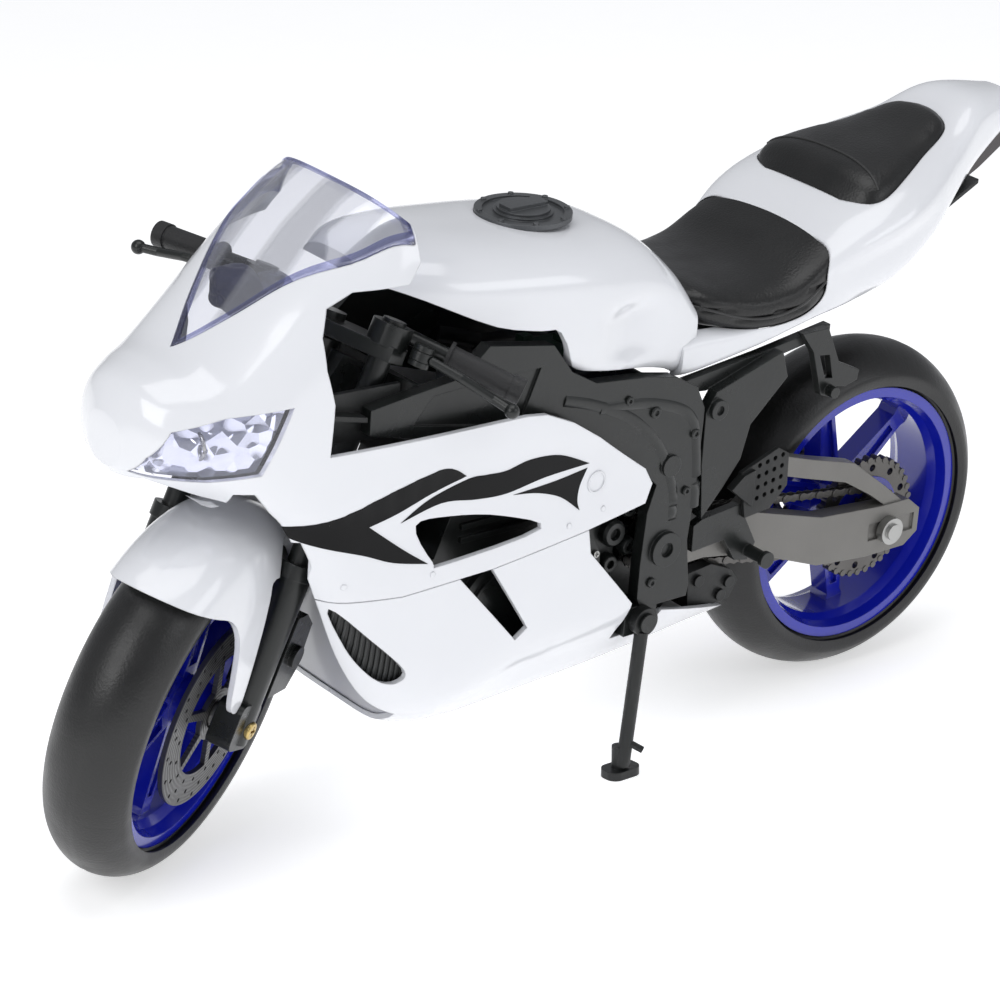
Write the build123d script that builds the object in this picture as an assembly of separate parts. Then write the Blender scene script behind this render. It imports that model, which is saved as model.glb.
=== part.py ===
from build123d import *
import math
import os

# Radio-controlled sports motorcycle, about 1:6, standing on its side stand with the
# front wheel turned to the left.  Millimetres, +X forward, +Y to the rider's left, +Z up.
#
# Every piece is drawn upright and with straight steering ("bike frame": X = 0 midway
# between the axles, Z = 0 where the upright tyres touch).  The steered pieces are drawn
# in the "fork frame": z along the steering axis, x square to it and forward.  The last
# step turns the steered pieces, leans the whole machine onto its stand and sets it down.

# ---------------------------------------------------------------- stance
LEAN_DEG = 6.0               # lean to the left, onto the stand
STEER_DEG = 30.0             # front wheel turned to the left
RAKE_DEG = 23.5              # steering axis leans back from vertical
FORK_FOOT = (115.79, 48.67)  # x, z of the fork frame's origin
ORIGIN_SHIFT = (3.17, -14.71)   # puts the origin under the middle of the overall box

# ---------------------------------------------------------------- wheels
REAR_AXLE = (-120.0, 52.0)   # x, z
FRONT_AXLE_X = 4.585         # forward of the steering axis, fork frame
REAR_TYRE_R = 52.0
REAR_TYRE_HALF = 14.0
FRONT_TYRE_R = 51.45
FRONT_TYRE_HALF = 12.5
SHOULDER_DROP = 7.75         # crown radius minus shoulder radius
BEAD_R = 38.6
FLANGE_R = 40.0
SPOKES = 6
AXLE_R = 2.5
RUNNING_GAP = 0.06           # radial clearance wherever something turns or slides
FIT_GAP = 0.02               # radial clearance of the fits that stay put

# ---------------------------------------------------------------- drive
PIVOT = (-30.0, 66.0)        # swingarm pivot and countershaft, x, z
CHAIN_Y = (15.4, 17.6)       # inner and outer side of the chain plane
FRONT_TEETH = 12
REAR_TEETH = 16
CHAIN_RING = (19.3, 13.02)   # outer and inner radius of the moulded chain ring
CHAIN_PITCH = 3.4
GEAR_MODULE = 0.7
GEAR_TEETH = 36
PINION_TEETH = 12
GEAR_Y = (7.2, 10.4)
MOTOR_X = PIVOT[0] + GEAR_MODULE * (GEAR_TEETH + PINION_TEETH) / 2

# ---------------------------------------------------------------- chassis
SPAR_IN = 26.0               # inner and outer side of the frame plates
SPAR_OUT = 30.0
ENGINE_HALF = 22.0
STUB_R = 3.0                 # swingarm pivot stubs

# ---------------------------------------------------------------- fork
LEG_X = FRONT_AXLE_X
LEG_Y = 19.0
TUBE_R = 3.2
SLIDER_R = 4.7
SLIDER_TOP = 46.0
TUBE_FOOT = 14.0
LOWER_CLAMP = (66.0, 73.0)
UPPER_CLAMP = (104.0, 108.0)
STEM_R = 3.0
HEAD_R = 6.0

# ---------------------------------------------------------------- steering servo
SERVO_X = -34.0              # servo axis, behind the steering axis in the fork frame
ARM = 12.0                   # horn length = steering arm length, so the link stays parallel
SERVO_FOOT = 58.5            # height of the servo's underside, fork frame
LINK_Z = (74.2, 76.4)
PIN_R = 1.2

# ---------------------------------------------------------------- bodywork
SKIN = 1.6                   # thickness of the moulded panels

# Cross-sections of the bodywork: x, lowest z, highest z, half width, z of the widest
# point, and squareness above and below it (1 = ellipse, smaller = squarer).
FAIRING = [
    (143.0, 119.0, 134.0, 6.0, 126.0, 0.90, 0.80),
    (138.0, 115.0, 143.0, 16.0, 127.0, 0.92, 0.80),
    (130.0, 112.5, 146.0, 23.5, 127.0, 0.90, 0.80),
    (121.0, 108.0, 149.0, 28.5, 128.0, 0.86, 0.80),
    (110.0, 98.0, 158.5, 32.0, 126.0, 0.80, 0.80),
    (98.0, 80.0, 170.0, 34.0, 124.0, 0.72, 0.62),
    (85.0, 56.0, 180.0, 35.0, 122.0, 0.62, 0.36),
    (70.0, 38.0, 188.0, 35.5, 118.0, 0.52, 0.34),
    (50.0, 31.0, 188.0, 35.5, 110.0, 0.50, 0.36),
    (20.0, 31.0, 180.0, 35.0, 105.0, 0.50, 0.40),
    (-20.0, 32.5, 150.0, 33.0, 95.0, 0.50, 0.45),
    (-60.0, 36.0, 120.0, 30.0, 80.0, 0.50, 0.50),
]
TANK = [
    (72.0, 150.0, 166.0, 14.0, 158.0, 0.70, 0.70),
    (60.0, 146.0, 168.0, 24.0, 156.0, 0.70, 0.55),
    (45.0, 141.0, 168.0, 29.0, 153.0, 0.70, 0.45),
    (25.0, 136.0, 166.0, 31.0, 150.0, 0.65, 0.38),
    (5.0, 125.0, 164.0, 31.0, 147.0, 0.65, 0.35),
    (-15.0, 121.0, 161.0, 28.5, 142.0, 0.68, 0.35),
    (-28.0, 118.0, 152.0, 26.5, 138.0, 0.72, 0.35),
    (-36.0, 117.0, 141.0, 24.5, 133.0, 0.75, 0.35),
]
TAIL = [
    (-36.0, 117.0, 131.0, 26.8, 125.0, 0.50, 0.50),
    (-58.0, 121.5, 131.0, 27.8, 127.0, 0.50, 0.50),
    (-75.0, 125.5, 143.0, 30.5, 134.0, 0.55, 0.55),
    (-92.0, 127.0, 156.0, 33.0, 142.0, 0.60, 0.60),
    (-108.0, 130.0, 162.0, 33.0, 147.0, 0.60, 0.60),
    (-122.0, 137.0, 166.0, 28.5, 153.0, 0.62, 0.62),
    (-138.0, 147.0, 171.0, 21.0, 160.5, 0.65, 0.65),
    (-152.0, 154.0, 177.5, 15.0, 168.0, 0.70, 0.70),
    (-170.0, 164.0, 176.0, 9.0, 171.0, 0.80, 0.80),
]


# ================================================================ drawing helpers
def side_plate(points, y0, y1):
    """Plate with the outline points (x, z), running from y0 to y1."""
    outline = Polyline(*[(x, y0, z) for x, z in points], close=True)
    return extrude(make_face(outline), amount=y1 - y0, dir=(0, 1, 0))


def plan_plate(points, z0, z1):
    """Plate with the outline points (x, y), running from z0 to z1."""
    outline = Polyline(*[(x, y, z0) for x, y in points], close=True)
    return extrude(make_face(outline), amount=z1 - z0, dir=(0, 0, 1))


def disc_y(x, z, radius, y0, y1):
    return Pos(x, (y0 + y1) / 2, z) * Rot(90, 0, 0) * Cylinder(radius, y1 - y0)


def disc_z(x, y, radius, z0, z1):
    return Pos(x, y, (z0 + z1) / 2) * Cylinder(radius, z1 - z0)


def ring_y(x, z, outer, inner, y0, y1):
    return disc_y(x, z, outer, y0, y1) - disc_y(x, z, inner, y0 - 1, y1 + 1)


def block(x0, x1, y0, y1, z0, z1):
    return Pos((x0 + x1) / 2, (y0 + y1) / 2, (z0 + z1) / 2) * Box(x1 - x0, y1 - y0, z1 - z0)


def rod(start, end, radius):
    a = Vector(*start)
    b = Vector(*end)
    return Plane(origin=(a + b) / 2, z_dir=b - a) * Cylinder(radius, (b - a).length)


def spun_y(profile, x, z):
    """Body turned about the Y axis from profile points (radius, y)."""
    face = make_face(Polyline(*[(r, y, 0) for r, y in profile], close=True))
    return Pos(x, 0, z) * revolve(face, Axis.Y, 360)


def both_sides(shape):
    return Compound(children=[shape, mirror(shape, about=Plane.XZ)])


def mirrored(shape):
    return mirror(shape, about=Plane.XZ)


def polar(x, z, radius, angle_deg):
    a = math.radians(angle_deg)
    return x + radius * math.cos(a), z + radius * math.sin(a)


def arc_points(x, z, radius, start_deg, end_deg, count):
    step = (end_deg - start_deg) / (count - 1)
    return [polar(x, z, radius, start_deg + step * i) for i in range(count)]


def largest(shape):
    """The main solid of a cut, without the slivers left beside it."""
    return max(shape.solids(), key=lambda solid: solid.volume)


def fused(pieces):
    solid = pieces[0]
    for piece in pieces[1:]:
        solid = solid + piece
    return solid


# ================================================================ lofted bodywork
def section_face(station, inset):
    """Super-ellipse across X, drawn inset from the outer surface."""
    x, low, high, half_width, widest, upper, lower = station
    count = 32
    points = []
    for i in range(count):
        a = 2 * math.pi * (i + 0.5) / count
        c = math.cos(a)
        s = math.sin(a)
        power = 2 / (upper if s > 0 else lower)
        size = (abs(c) ** power + abs(s) ** power) ** (-1 / power)
        reach = high - widest - inset if s > 0 else widest - low - inset
        points.append((x, (half_width - inset) * c * size, widest + reach * s * size))
    return make_face(Spline(*points, periodic=True))


def blended(stations, steps=3):
    """The same stations with extra ones on smooth curves between them."""
    ends = [stations[0], *stations, stations[-1]]
    result = []
    for i in range(1, len(ends) - 2):
        before, start, end, after = ends[i - 1:i + 3]
        for j in range(steps):
            t = j / steps
            result.append(tuple(
                (2 * p + (q - o) * t + (2 * o - 5 * p + 4 * q - r) * t ** 2
                 + (3 * p - o - 3 * q + r) * t ** 3) / 2
                for o, p, q, r in zip(before, start, end, after)))
    return result + [stations[-1]]


def loft_body(stations, inset=0.0):
    return loft([section_face(station, inset) for station in blended(stations)], ruled=True)


def skin(stations, closed_end=None):
    """Hollow moulding, open at both ends or with a wall at the end x given."""
    hollow = loft_body(stations, SKIN)
    if closed_end is not None:
        hollow -= block(closed_end - SKIN, closed_end + SKIN, -60, 60, 0, 220)
    return loft_body(stations) - hollow


# ================================================================ wheels
def tyre(radius, half, bead_half):
    """Tyre with a round crown running out to the shoulders, bulged sidewalls and beads."""
    shoulder = radius - SHOULDER_DROP
    crown = ThreePointArc((shoulder, half, 0), (radius, 0, 0), (shoulder, -half, 0))
    low = Polyline((shoulder, -half, 0), (BEAD_R + 1.5, -bead_half - 0.4, 0),
                   (BEAD_R, -bead_half, 0), (BEAD_R, bead_half, 0),
                   (BEAD_R + 1.5, bead_half + 0.4, 0), (shoulder, half, 0))
    return revolve(make_face([crown, *low.edges()]), Axis.Y, 360)


def rim(bead_half, hub_r, hub_half, spoke_y, spoke_thick, phase):
    """Wheel rim with turned-up flanges, hub and tapered spokes set towards the right."""
    b = bead_half
    barrel = [(BEAD_R - 0.02, -b), (BEAD_R - 0.02, b), (FLANGE_R, b + 0.5), (FLANGE_R, b + 1.7),
              (BEAD_R - 1.6, b + 1.7), (BEAD_R - 2.6, b - 1.5), (BEAD_R - 4.0, b - 4.0),
              (BEAD_R - 4.0, -b + 4.0), (BEAD_R - 2.6, -b + 1.5), (BEAD_R - 1.6, -b - 1.7),
              (FLANGE_R, -b - 1.7), (FLANGE_R, -b - 0.5)]
    wheel = spun_y(barrel, 0, 0)
    wheel += disc_y(0, 0, hub_r, -hub_half, hub_half)
    root = 4.2
    tip = 2.6
    for i in range(SPOKES):
        outline = [(hub_r - 2, -root), (BEAD_R - 6, -tip), (BEAD_R - 2, -tip - 1.6),
                   (BEAD_R - 2, tip + 1.6), (BEAD_R - 6, tip), (hub_r - 2, root)]
        spoke = side_plate(outline, spoke_y - spoke_thick / 2, spoke_y + spoke_thick / 2)
        channel = [(hub_r + 3, -root + 1.8), (BEAD_R - 9, -tip + 1.3),
                   (BEAD_R - 9, tip - 1.3), (hub_r + 3, root - 1.8)]
        spoke -= side_plate(channel, spoke_y + spoke_thick / 2 - 1.2, spoke_y + spoke_thick)
        wheel += Rot(0, -(phase + i * 360 / SPOKES), 0) * spoke
    return wheel - disc_y(0, 0, AXLE_R + RUNNING_GAP, -hub_half - 1, hub_half + 1)


def brake_disc(outer, inner, y0, y1, carrier_r):
    """Drilled brake ring on a spidered carrier."""
    disc = ring_y(0, 0, outer, inner, y0, y1)
    for i in range(18):
        for j, radius in enumerate((inner + 2.0, (outer + inner) / 2 + 0.6, outer - 1.6)):
            x, z = polar(0, 0, radius, 20 * i + 7 * j)
            disc -= disc_y(x, z, 0.62, y0 - 1, y1 + 1)
    disc += ring_y(0, 0, carrier_r, AXLE_R + 1.6, y0, y1)
    for i in range(6):
        arm = side_plate([(carrier_r - 1, -1.3), (inner + 0.4, -1.0), (inner + 0.4, 1.0),
                          (carrier_r - 1, 1.3)], y0, y1)
        disc += Rot(0, -60 * i, 0) * arm
    return disc


def sprocket(teeth, y0, y1, bore):
    """Chain sprocket; its roller seats sit at the chain pitch."""
    pitch_r = CHAIN_PITCH / (2 * math.sin(math.pi / teeth))
    outline = []
    for i in range(teeth):
        step = 360 / teeth
        outline.append(polar(0, 0, pitch_r - 0.95, step * (i - 0.24)))
        outline.append(polar(0, 0, pitch_r - 0.95, step * (i + 0.24)))
        outline.append(polar(0, 0, pitch_r + 0.30, step * (i + 0.42)))
        outline.append(polar(0, 0, pitch_r + 0.30, step * (i + 0.58)))
    return side_plate(outline, y0, y1) - disc_y(0, 0, bore, y0 - 1, y1 + 1)


def gear(teeth, y0, y1, bore, turn_deg):
    """Spur gear with straight-flanked teeth, thinned so the pair never binds."""
    pitch_r = GEAR_MODULE * teeth / 2
    root_r = pitch_r - 0.95 * GEAR_MODULE
    tip_r = pitch_r + 0.75 * GEAR_MODULE
    step = 360 / teeth
    outline = []
    for i in range(teeth):
        middle = turn_deg + i * step
        outline.append(polar(0, 0, root_r, middle - 0.30 * step))
        outline.append(polar(0, 0, pitch_r, middle - 0.19 * step))
        outline.append(polar(0, 0, tip_r, middle - 0.07 * step))
        outline.append(polar(0, 0, tip_r, middle + 0.07 * step))
        outline.append(polar(0, 0, pitch_r, middle + 0.19 * step))
        outline.append(polar(0, 0, root_r, middle + 0.30 * step))
    return side_plate(outline, y0, y1) - disc_y(0, 0, bore, y0 - 1, y1 + 1)


def chain_ring():
    """Large drilled ring with roller lumps round its edge, on the hub flange."""
    outer, inner = CHAIN_RING
    ring = ring_y(0, 0, outer - 0.9, inner, 12.9, 15.1)
    for i in range(36):
        x, z = polar(0, 0, outer - 1.0, 10 * i)
        ring += disc_y(x, z, 1.0, 12.7, 15.3)
    for i in range(12):
        x, z = polar(0, 0, outer - 3.6, 30 * i + 5)
        ring -= disc_y(x, z, 1.15, 12, 16)
    return ring


def rear_wheel():
    at = Pos(REAR_AXLE[0], 0, REAR_AXLE[1])
    sprockets = [sprocket(REAR_TEETH, 15.65, 17.3, 4.2), chain_ring()]
    hub = rim(10.4, 8.5, 12.4, -3.0, 7.0, 20)
    hub = hub.fuse(ring_y(0, 0, 13.0, AXLE_R + RUNNING_GAP, 12.4, 15.3))
    return {
        "rear_tyre": at * tyre(REAR_TYRE_R, REAR_TYRE_HALF, 10.4),
        "rear_rim": at * hub,
        "rear_sprocket": at * Compound(children=sprockets),
        "rear_disc": at * brake_disc(15.5, 9.5, -14.0, -12.4, 6.5),
    }


def front_wheel():
    at = Pos(FRONT_AXLE_X, 0, 0)
    rings = [brake_disc(26.5, 17.5, y0, y1, 7.5) for y0, y1 in ((11.4, 12.8), (-12.8, -11.4))]
    return {
        "front_tyre": at * tyre(FRONT_TYRE_R, FRONT_TYRE_HALF, 8.3),
        "front_rim": at * rim(8.3, 7.0, 11.4, 0.0, 5.6, 20),
        "front_discs": at * Compound(children=rings),
    }


# ================================================================ chain and swingarm
def chain_loop(radius_rear, radius_front, y0, y1):
    """Solid band bounded by the open belt line round both sprockets."""
    rx, rz = REAR_AXLE
    px, pz = PIVOT
    span = math.hypot(px - rx, pz - rz)
    slope = math.degrees(math.atan2(pz - rz, px - rx))
    wrap = math.degrees(math.asin((radius_rear - radius_front) / span))
    top = slope + 90 - wrap
    bottom = slope - 90 + wrap
    points = arc_points(rx, rz, radius_rear, top, bottom + 360, 40)
    points += arc_points(px, pz, radius_front, bottom, top, 24)
    return side_plate(points, y0, y1)


def drive_chain():
    """Roller chain: an outer band of link plates notched between rollers."""
    rear_r = CHAIN_PITCH / (2 * math.sin(math.pi / REAR_TEETH)) + 1.4
    front_r = CHAIN_PITCH / (2 * math.sin(math.pi / FRONT_TEETH)) + 1.4
    band = chain_loop(rear_r + 1.0, front_r + 1.0, *CHAIN_Y)
    band -= chain_loop(rear_r - 0.9, front_r - 0.9, CHAIN_Y[0] - 1, CHAIN_Y[1] + 1)
    rx, rz = REAR_AXLE
    for i in range(28):
        x, z = polar(rx, rz, rear_r + 1.25, 96 + i * 6.0)
        band -= disc_y(x, z, 0.8, CHAIN_Y[0] - 1, CHAIN_Y[1] + 1)
    return band


def swingarm():
    """Two-sided arm: deep lower beam, bowed upper brace, axle plates and a cross tube."""
    y0, y1 = 19.6, 25.0
    lower = [(-30, 72.5), (-46, 72), (-66, 69.5), (-92, 62), (-117, 60), (-128, 60),
             (-133, 56), (-133, 48.5), (-128, 44.8), (-112, 44.6), (-92, 46.5), (-64, 57),
             (-46, 60), (-30, 59.5)]
    brace = [(-56, 70), (-75, 85), (-86, 81.5), (-104, 76.5), (-118, 66), (-128, 58),
             (-121, 58), (-112, 64.5), (-101, 71), (-84, 76), (-76, 78.5), (-66, 68)]
    arm = side_plate(lower, y0, y1) + side_plate(brace, y0 + 0.6, y1 - 0.6)
    arm += disc_y(*PIVOT, 6.9, y0, y1)
    recess = [(-70, 65), (-92, 58.5), (-108, 56.5), (-108, 49), (-92, 50.5), (-70, 59.5)]
    arm -= side_plate(recess, y0 - 1, y0 + 1.8)
    arm -= disc_y(*PIVOT, STUB_R + RUNNING_GAP, y0 - 1, y1 + 1)
    arm -= block(-131, -112.5, y1 - 0.8, y1 + 1, 49.5, 55)
    arm -= disc_y(*REAR_AXLE, AXLE_R + FIT_GAP, y0 - 1, y1 + 1)
    cross = rod((-58, -21, 61.6), (-58, 21, 61.6), 4.0)
    return fused([arm, mirrored(arm), cross])


def rear_axle():
    """Axle with turned caps, adjuster blocks and spacers that centre the wheel."""
    x, z = REAR_AXLE
    pin = disc_y(x, z, AXLE_R, -28.5, 28.5)
    pin += disc_y(x, z, 4.2, 25.05, 27.6)
    pin += disc_y(x, z, 4.2, -27.6, -25.05)
    pin += ring_y(x, z, 3.6, AXLE_R - 0.5, 17.45, 19.55)
    pin += ring_y(x, z, 3.6, AXLE_R - 0.5, -19.55, -14.15)
    return pin


def rear_caliper():
    """Small floating caliper hung under the right axle plate, straddling the disc."""
    x, z = REAR_AXLE
    outline = arc_points(x, z, 18.5, 20, 64, 8) + arc_points(x, z, 9.4, 64, 20, 8)
    body = side_plate(outline, -19.6, -10.4)
    slot = arc_points(x, z, 16.2, 10, 74, 10) + arc_points(x, z, 7.0, 74, 10, 10)
    return body - side_plate(slot, -14.5, -11.9)


# ================================================================ engine and drive train
def engine_outline():
    return [(-47, 62), (-47, 78), (-34, 90), (-18, 104), (10, 110), (36, 107), (43, 97),
            (50, 81), (58, 79), (59, 62), (50, 44), (20, 38), (-8, 38), (-30, 42), (-38, 50)]


def engine_cavity():
    """Room for the gear train, the motor can and the battery bay."""
    px, pz = PIVOT
    gear_r = GEAR_MODULE * GEAR_TEETH / 2 + 1.6
    pinion_r = GEAR_MODULE * PINION_TEETH / 2 + 1.6
    room = disc_y(px, pz, gear_r, GEAR_Y[0] - 0.7, GEAR_Y[1] + 0.7)
    room += disc_y(MOTOR_X, pz, pinion_r, GEAR_Y[0] - 0.7, GEAR_Y[1] + 0.7)
    room += disc_y(px, pz, 2.0 + RUNNING_GAP, -14, 30)
    room += disc_y(MOTOR_X, pz, 2.6, 5.0, GEAR_Y[0])
    room += disc_y(MOTOR_X, pz, 10.0, -18.5, 5.0)
    return room


def engine_halves():
    whole = side_plate(engine_outline(), -ENGINE_HALF, ENGINE_HALF)
    chain_zone = block(-60, -14.0, 13.6, 30, 48, 82)
    arm_zone = block(-60, -19.5, -30, -18.8, 53, 82)
    tube_zone = disc_y(-58, 61.6, 9.5, -30, 30)
    whole = whole - chain_zone - arm_zone - tube_zone - engine_cavity()
    left = whole & block(-80, 80, 0, 40, 0, 140)
    right = whole & block(-80, 80, -40, 0, 0, 140)
    for x, z, radius in ((28, 62, 13.5), (2, 68, 9.5)):
        left += disc_y(x, z, radius, ENGINE_HALF - 0.5, ENGINE_HALF + 2.2)
        left += disc_y(x, z, radius - 3, ENGINE_HALF, ENGINE_HALF + 3.2)
        right += disc_y(x, z, radius, -ENGINE_HALF - 2.2, -ENGINE_HALF + 0.5)
        right += disc_y(x, z, radius - 3, -ENGINE_HALF - 3.2, -ENGINE_HALF)
    for i in range(5):
        fin = block(8, 42, ENGINE_HALF - 0.5, ENGINE_HALF + 1.2, 84 + 4 * i, 85.6 + 4 * i)
        left += fin
        right += mirrored(fin)
    return left, right


def case_screws():
    """Cross-recessed heads round the two engine covers."""
    heads = []
    for x, z, radius in ((28, 62, 11.9), (2, 68, 7.9)):
        for i in range(5):
            sx, sz = polar(x, z, radius, 18 + 72 * i)
            head = disc_y(sx, sz, 1.05, ENGINE_HALF + 2.22, ENGINE_HALF + 3.0)
            head -= block(sx - 0.7, sx + 0.7, ENGINE_HALF + 2.7, ENGINE_HALF + 4, sz - 0.16, sz + 0.16)
            head -= block(sx - 0.16, sx + 0.16, ENGINE_HALF + 2.7, ENGINE_HALF + 4, sz - 0.7, sz + 0.7)
            heads.append(head)
            heads.append(mirrored(head))
    return Compound(children=heads)


def drive_train():
    px, pz = PIVOT
    shaft = disc_y(px, pz, 2.0, -13.5, 18.3) + disc_y(px, pz, 3.2, 14.0, 15.3)
    half_tooth = 180 / PINION_TEETH
    pinion = gear(PINION_TEETH, GEAR_Y[0], GEAR_Y[1], 0.6, 180 + half_tooth)
    pinion += disc_y(0, 0, 0.95, -4.0, GEAR_Y[1] + 0.4)
    can = disc_y(MOTOR_X, pz, 9.9, -18.4, 4.9)
    can -= block(MOTOR_X - 12, MOTOR_X + 12, -20, 6, pz + 7.6, pz + 12)
    can -= block(MOTOR_X - 12, MOTOR_X + 12, -20, 6, pz - 12, pz - 7.6)
    can -= disc_y(MOTOR_X, pz, 1.0 + RUNNING_GAP, -4.5, 8)
    return {
        "countershaft": shaft,
        "drive_gear": Pos(px, 0, pz) * gear(GEAR_TEETH, *GEAR_Y, 2.0, 0),
        "front_sprocket": Pos(px, 0, pz) * sprocket(FRONT_TEETH, 15.65, 17.3, 2.0),
        "motor_pinion": Pos(MOTOR_X, 0, pz) * pinion,
        "drive_motor": can,
    }


# ================================================================ main frame
def spar_outline():
    return [(80, 133), (68, 134.5), (50, 136.5), (42, 143.5), (20, 139.5), (13, 130.5),
            (4, 125.5), (-15, 123.5), (-25, 121.5), (-33, 117), (-36.5, 110), (-36, 90),
            (-34.5, 70), (-36.5, 56), (-36, 52.5), (-19, 52.5), (-17.5, 56), (-17.5, 66),
            (-18.5, 82), (-21, 90), (-14, 97), (6, 108), (30, 116), (60, 121), (80, 126)]


def head_angle_point(local_x, local_z):
    """Bike-frame x, z of a point on the steering axis plane."""
    a = math.radians(RAKE_DEG)
    x = FORK_FOOT[0] + local_x * math.cos(a) - local_z * math.sin(a)
    z = FORK_FOOT[1] + local_x * math.sin(a) + local_z * math.cos(a)
    return x, z


def on_rake(shape):
    """Moves a piece drawn in the fork frame to the bike frame, steering straight."""
    return Pos(FORK_FOOT[0], 0, FORK_FOOT[1]) * Rot(0, -RAKE_DEG, 0) * shape


def main_frame():
    """Twin-spar frame: side plates, steering head, cross tubes, pivot stubs and bosses."""
    side = side_plate(spar_outline(), SPAR_IN, SPAR_OUT)
    side -= side_plate([(60, 133), (66, 126), (44, 121.5), (30, 119), (24, 134), (40, 134)],
                       SPAR_OUT - 0.8, SPAR_OUT + 1)
    side += disc_y(-26, 69.5, 5.2, SPAR_OUT - 1, SPAR_OUT + 1.4)
    side -= disc_y(-26, 69.5, 2.2, SPAR_OUT + 0.2, SPAR_OUT + 3)
    side += disc_y(-25.5, 95, 3.2, SPAR_OUT - 1, SPAR_OUT + 1.0)
    side += disc_y(*PIVOT, STUB_R, 19.2, SPAR_IN + 0.5)
    side += disc_y(-17, 100, 3.0, ENGINE_HALF, SPAR_IN + 0.5)
    side += block(-25, -13.5, ENGINE_HALF, SPAR_OUT, 45, 53.5)
    head = on_rake(disc_z(0, 0, HEAD_R, 78, 103))
    wings = side_plate([head_angle_point(0, 80), head_angle_point(-14, 80), (60, 121), (56, 133),
                        head_angle_point(-9, 100.5), head_angle_point(0, 101)],
                       -SPAR_IN - 0.5, SPAR_IN + 0.5)
    taper = [(100, 6), (84, 6), (74, 12.5), (66, 18), (61, SPAR_OUT), (40, SPAR_OUT)]
    wings = wings & plan_plate(taper + [(x, -y) for x, y in reversed(taper)], 60, 180)
    wings -= block(30, 61, -24, 24, 100, 170)
    frame = fused([side, mirrored(side), head, wings])
    frame -= on_rake(disc_z(0, 0, STEM_R + RUNNING_GAP, 70, 110))
    frame += rod((-28, -27, 113), (-28, 27, 113), 2.6)
    frame += servo_tray()
    return frame


def servo_tray():
    """Shelf under the steering head that carries the servo, with two side struts."""
    shelf = on_rake(block(SERVO_X - 9, SERVO_X + 9, -11, 11, SERVO_FOOT - 1.5, SERVO_FOOT))
    struts = []
    for side in (-1, 1):
        x, z = head_angle_point(SERVO_X - 6, SERVO_FOOT - 0.75)
        struts.append(rod((x, side * 10, z), (44, side * 27, 121), 1.5))
    return fused([shelf, *struts])


def footrest_hangers():
    """Rider footrest hangers: smooth cover, bolt, lower link and peg on each side."""
    cover = [(-37.6, 108), (-41, 113.5), (-65, 121.0), (-67.7, 113), (-55, 101), (-52.4, 91),
             (-47, 84), (-39.5, 75.5), (-37.8, 92)]
    hanger = side_plate(cover, SPAR_IN, SPAR_OUT - 0.4)
    link = [(-37.9, 73), (-41, 74.5), (-55, 76), (-62.5, 62.5), (-60, 57.5), (-55, 58.5),
            (-50, 66), (-38, 65)]
    hanger += side_plate(link, SPAR_IN, SPAR_IN + 2.6)
    hanger += disc_y(-60, 60.5, 1.9, SPAR_IN + 2, SPAR_OUT + 6.5)
    hanger += disc_y(-60, 60.5, 2.5, SPAR_OUT + 5.5, SPAR_OUT + 7)
    hanger += disc_y(-41.5, 108.5, 3.0, SPAR_OUT - 1, SPAR_OUT + 1.2)
    hanger -= disc_y(-41.5, 108.5, 1.4, SPAR_OUT + 0.4, SPAR_OUT + 3)
    rail = side_plate([(-31, 114), (-31, 117.2), (-60, 120.4), (-86, 124.2), (-86, 121.2),
                       (-60, 117.2), (-40, 113)], SPAR_IN - 3.0, SPAR_IN)
    return both_sides(hanger + rail)


def heel_guards():
    """Perforated plates behind the rider's heels, one on each side."""
    guard = side_plate([(-53.2, 86.5), (-66.8, 91.5), (-71, 89), (-71.5, 79), (-65.5, 73),
                        (-56, 72.0)], SPAR_IN + 2.65, SPAR_IN + 4.0)
    lug = side_plate([(-53.4, 86), (-57.5, 87.0), (-57.5, 75.5), (-49, 82.5)],
                     SPAR_IN + 2.65, SPAR_OUT + 1.2)
    guard = guard + lug
    for row in range(4):
        for column in range(4):
            x = -60.0 - 2.9 * column
            z = 77.3 + 3.4 * row + 0.5 * column
            guard -= disc_y(x, z, 0.75, SPAR_IN, SPAR_OUT + 3)
    return both_sides(guard)


def exhaust_box():
    """Collector box under the swingarm pivot, with lug bosses and a step for the chain."""
    outline = [(-43.2, 54.5), (-52, 55.5), (-60, 52), (-63, 48), (-60, 43), (-50, 42), (-44, 43)]
    box = side_plate(outline, -22.0, 22.5)
    box -= block(-80, -30, CHAIN_Y[0] - 1.0, CHAIN_Y[1] + 1.0, 43.8, 80)
    for x, z in ((-47, 51.5), (-59, 48.5), (-56, 45)):
        box += disc_y(x, z, 1.8, 22, 23.6)
        box += disc_y(x, z, 1.8, -23.1, -21.5)
    return box


def pillion_hangers():
    """Two-armed brackets that hang the passenger footrests from the seat rails."""
    bracket = side_plate([(-73, 124.4), (-78, 118), (-82.5, 104), (-86.5, 102.5), (-88.5, 105.5),
                          (-92, 104.8), (-96.5, 106), (-97, 109), (-88.5, 113), (-83, 124.4)],
                         SPAR_IN, SPAR_IN + 2.6)
    bracket -= side_plate([(-80.5, 116.5), (-83.5, 109), (-86.5, 108.5), (-84.5, 116)], 20, 40)
    bracket += disc_y(-85.5, 105, 1.7, SPAR_IN + 2, SPAR_IN + 5.5)
    return both_sides(bracket)


# ================================================================ radio gear
def battery_pack():
    pack = block(-22, 26, -12, 12, 110.05, 122.05)
    return fillet(pack.edges().filter_by(Axis.X), 3.0)


def control_board():
    z = 123.5
    board = block(-18, 6, -9, 9, 122.1, z)
    for x, y, size, height in ((-12, -3, 5, 1.8), (-4, 3, 6, 1.4), (2, -4, 3.4, 4.0)):
        half = size / 2
        board += block(x - half, x + half, y - half, y + half, z - 0.1, z + height)
    return board


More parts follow.
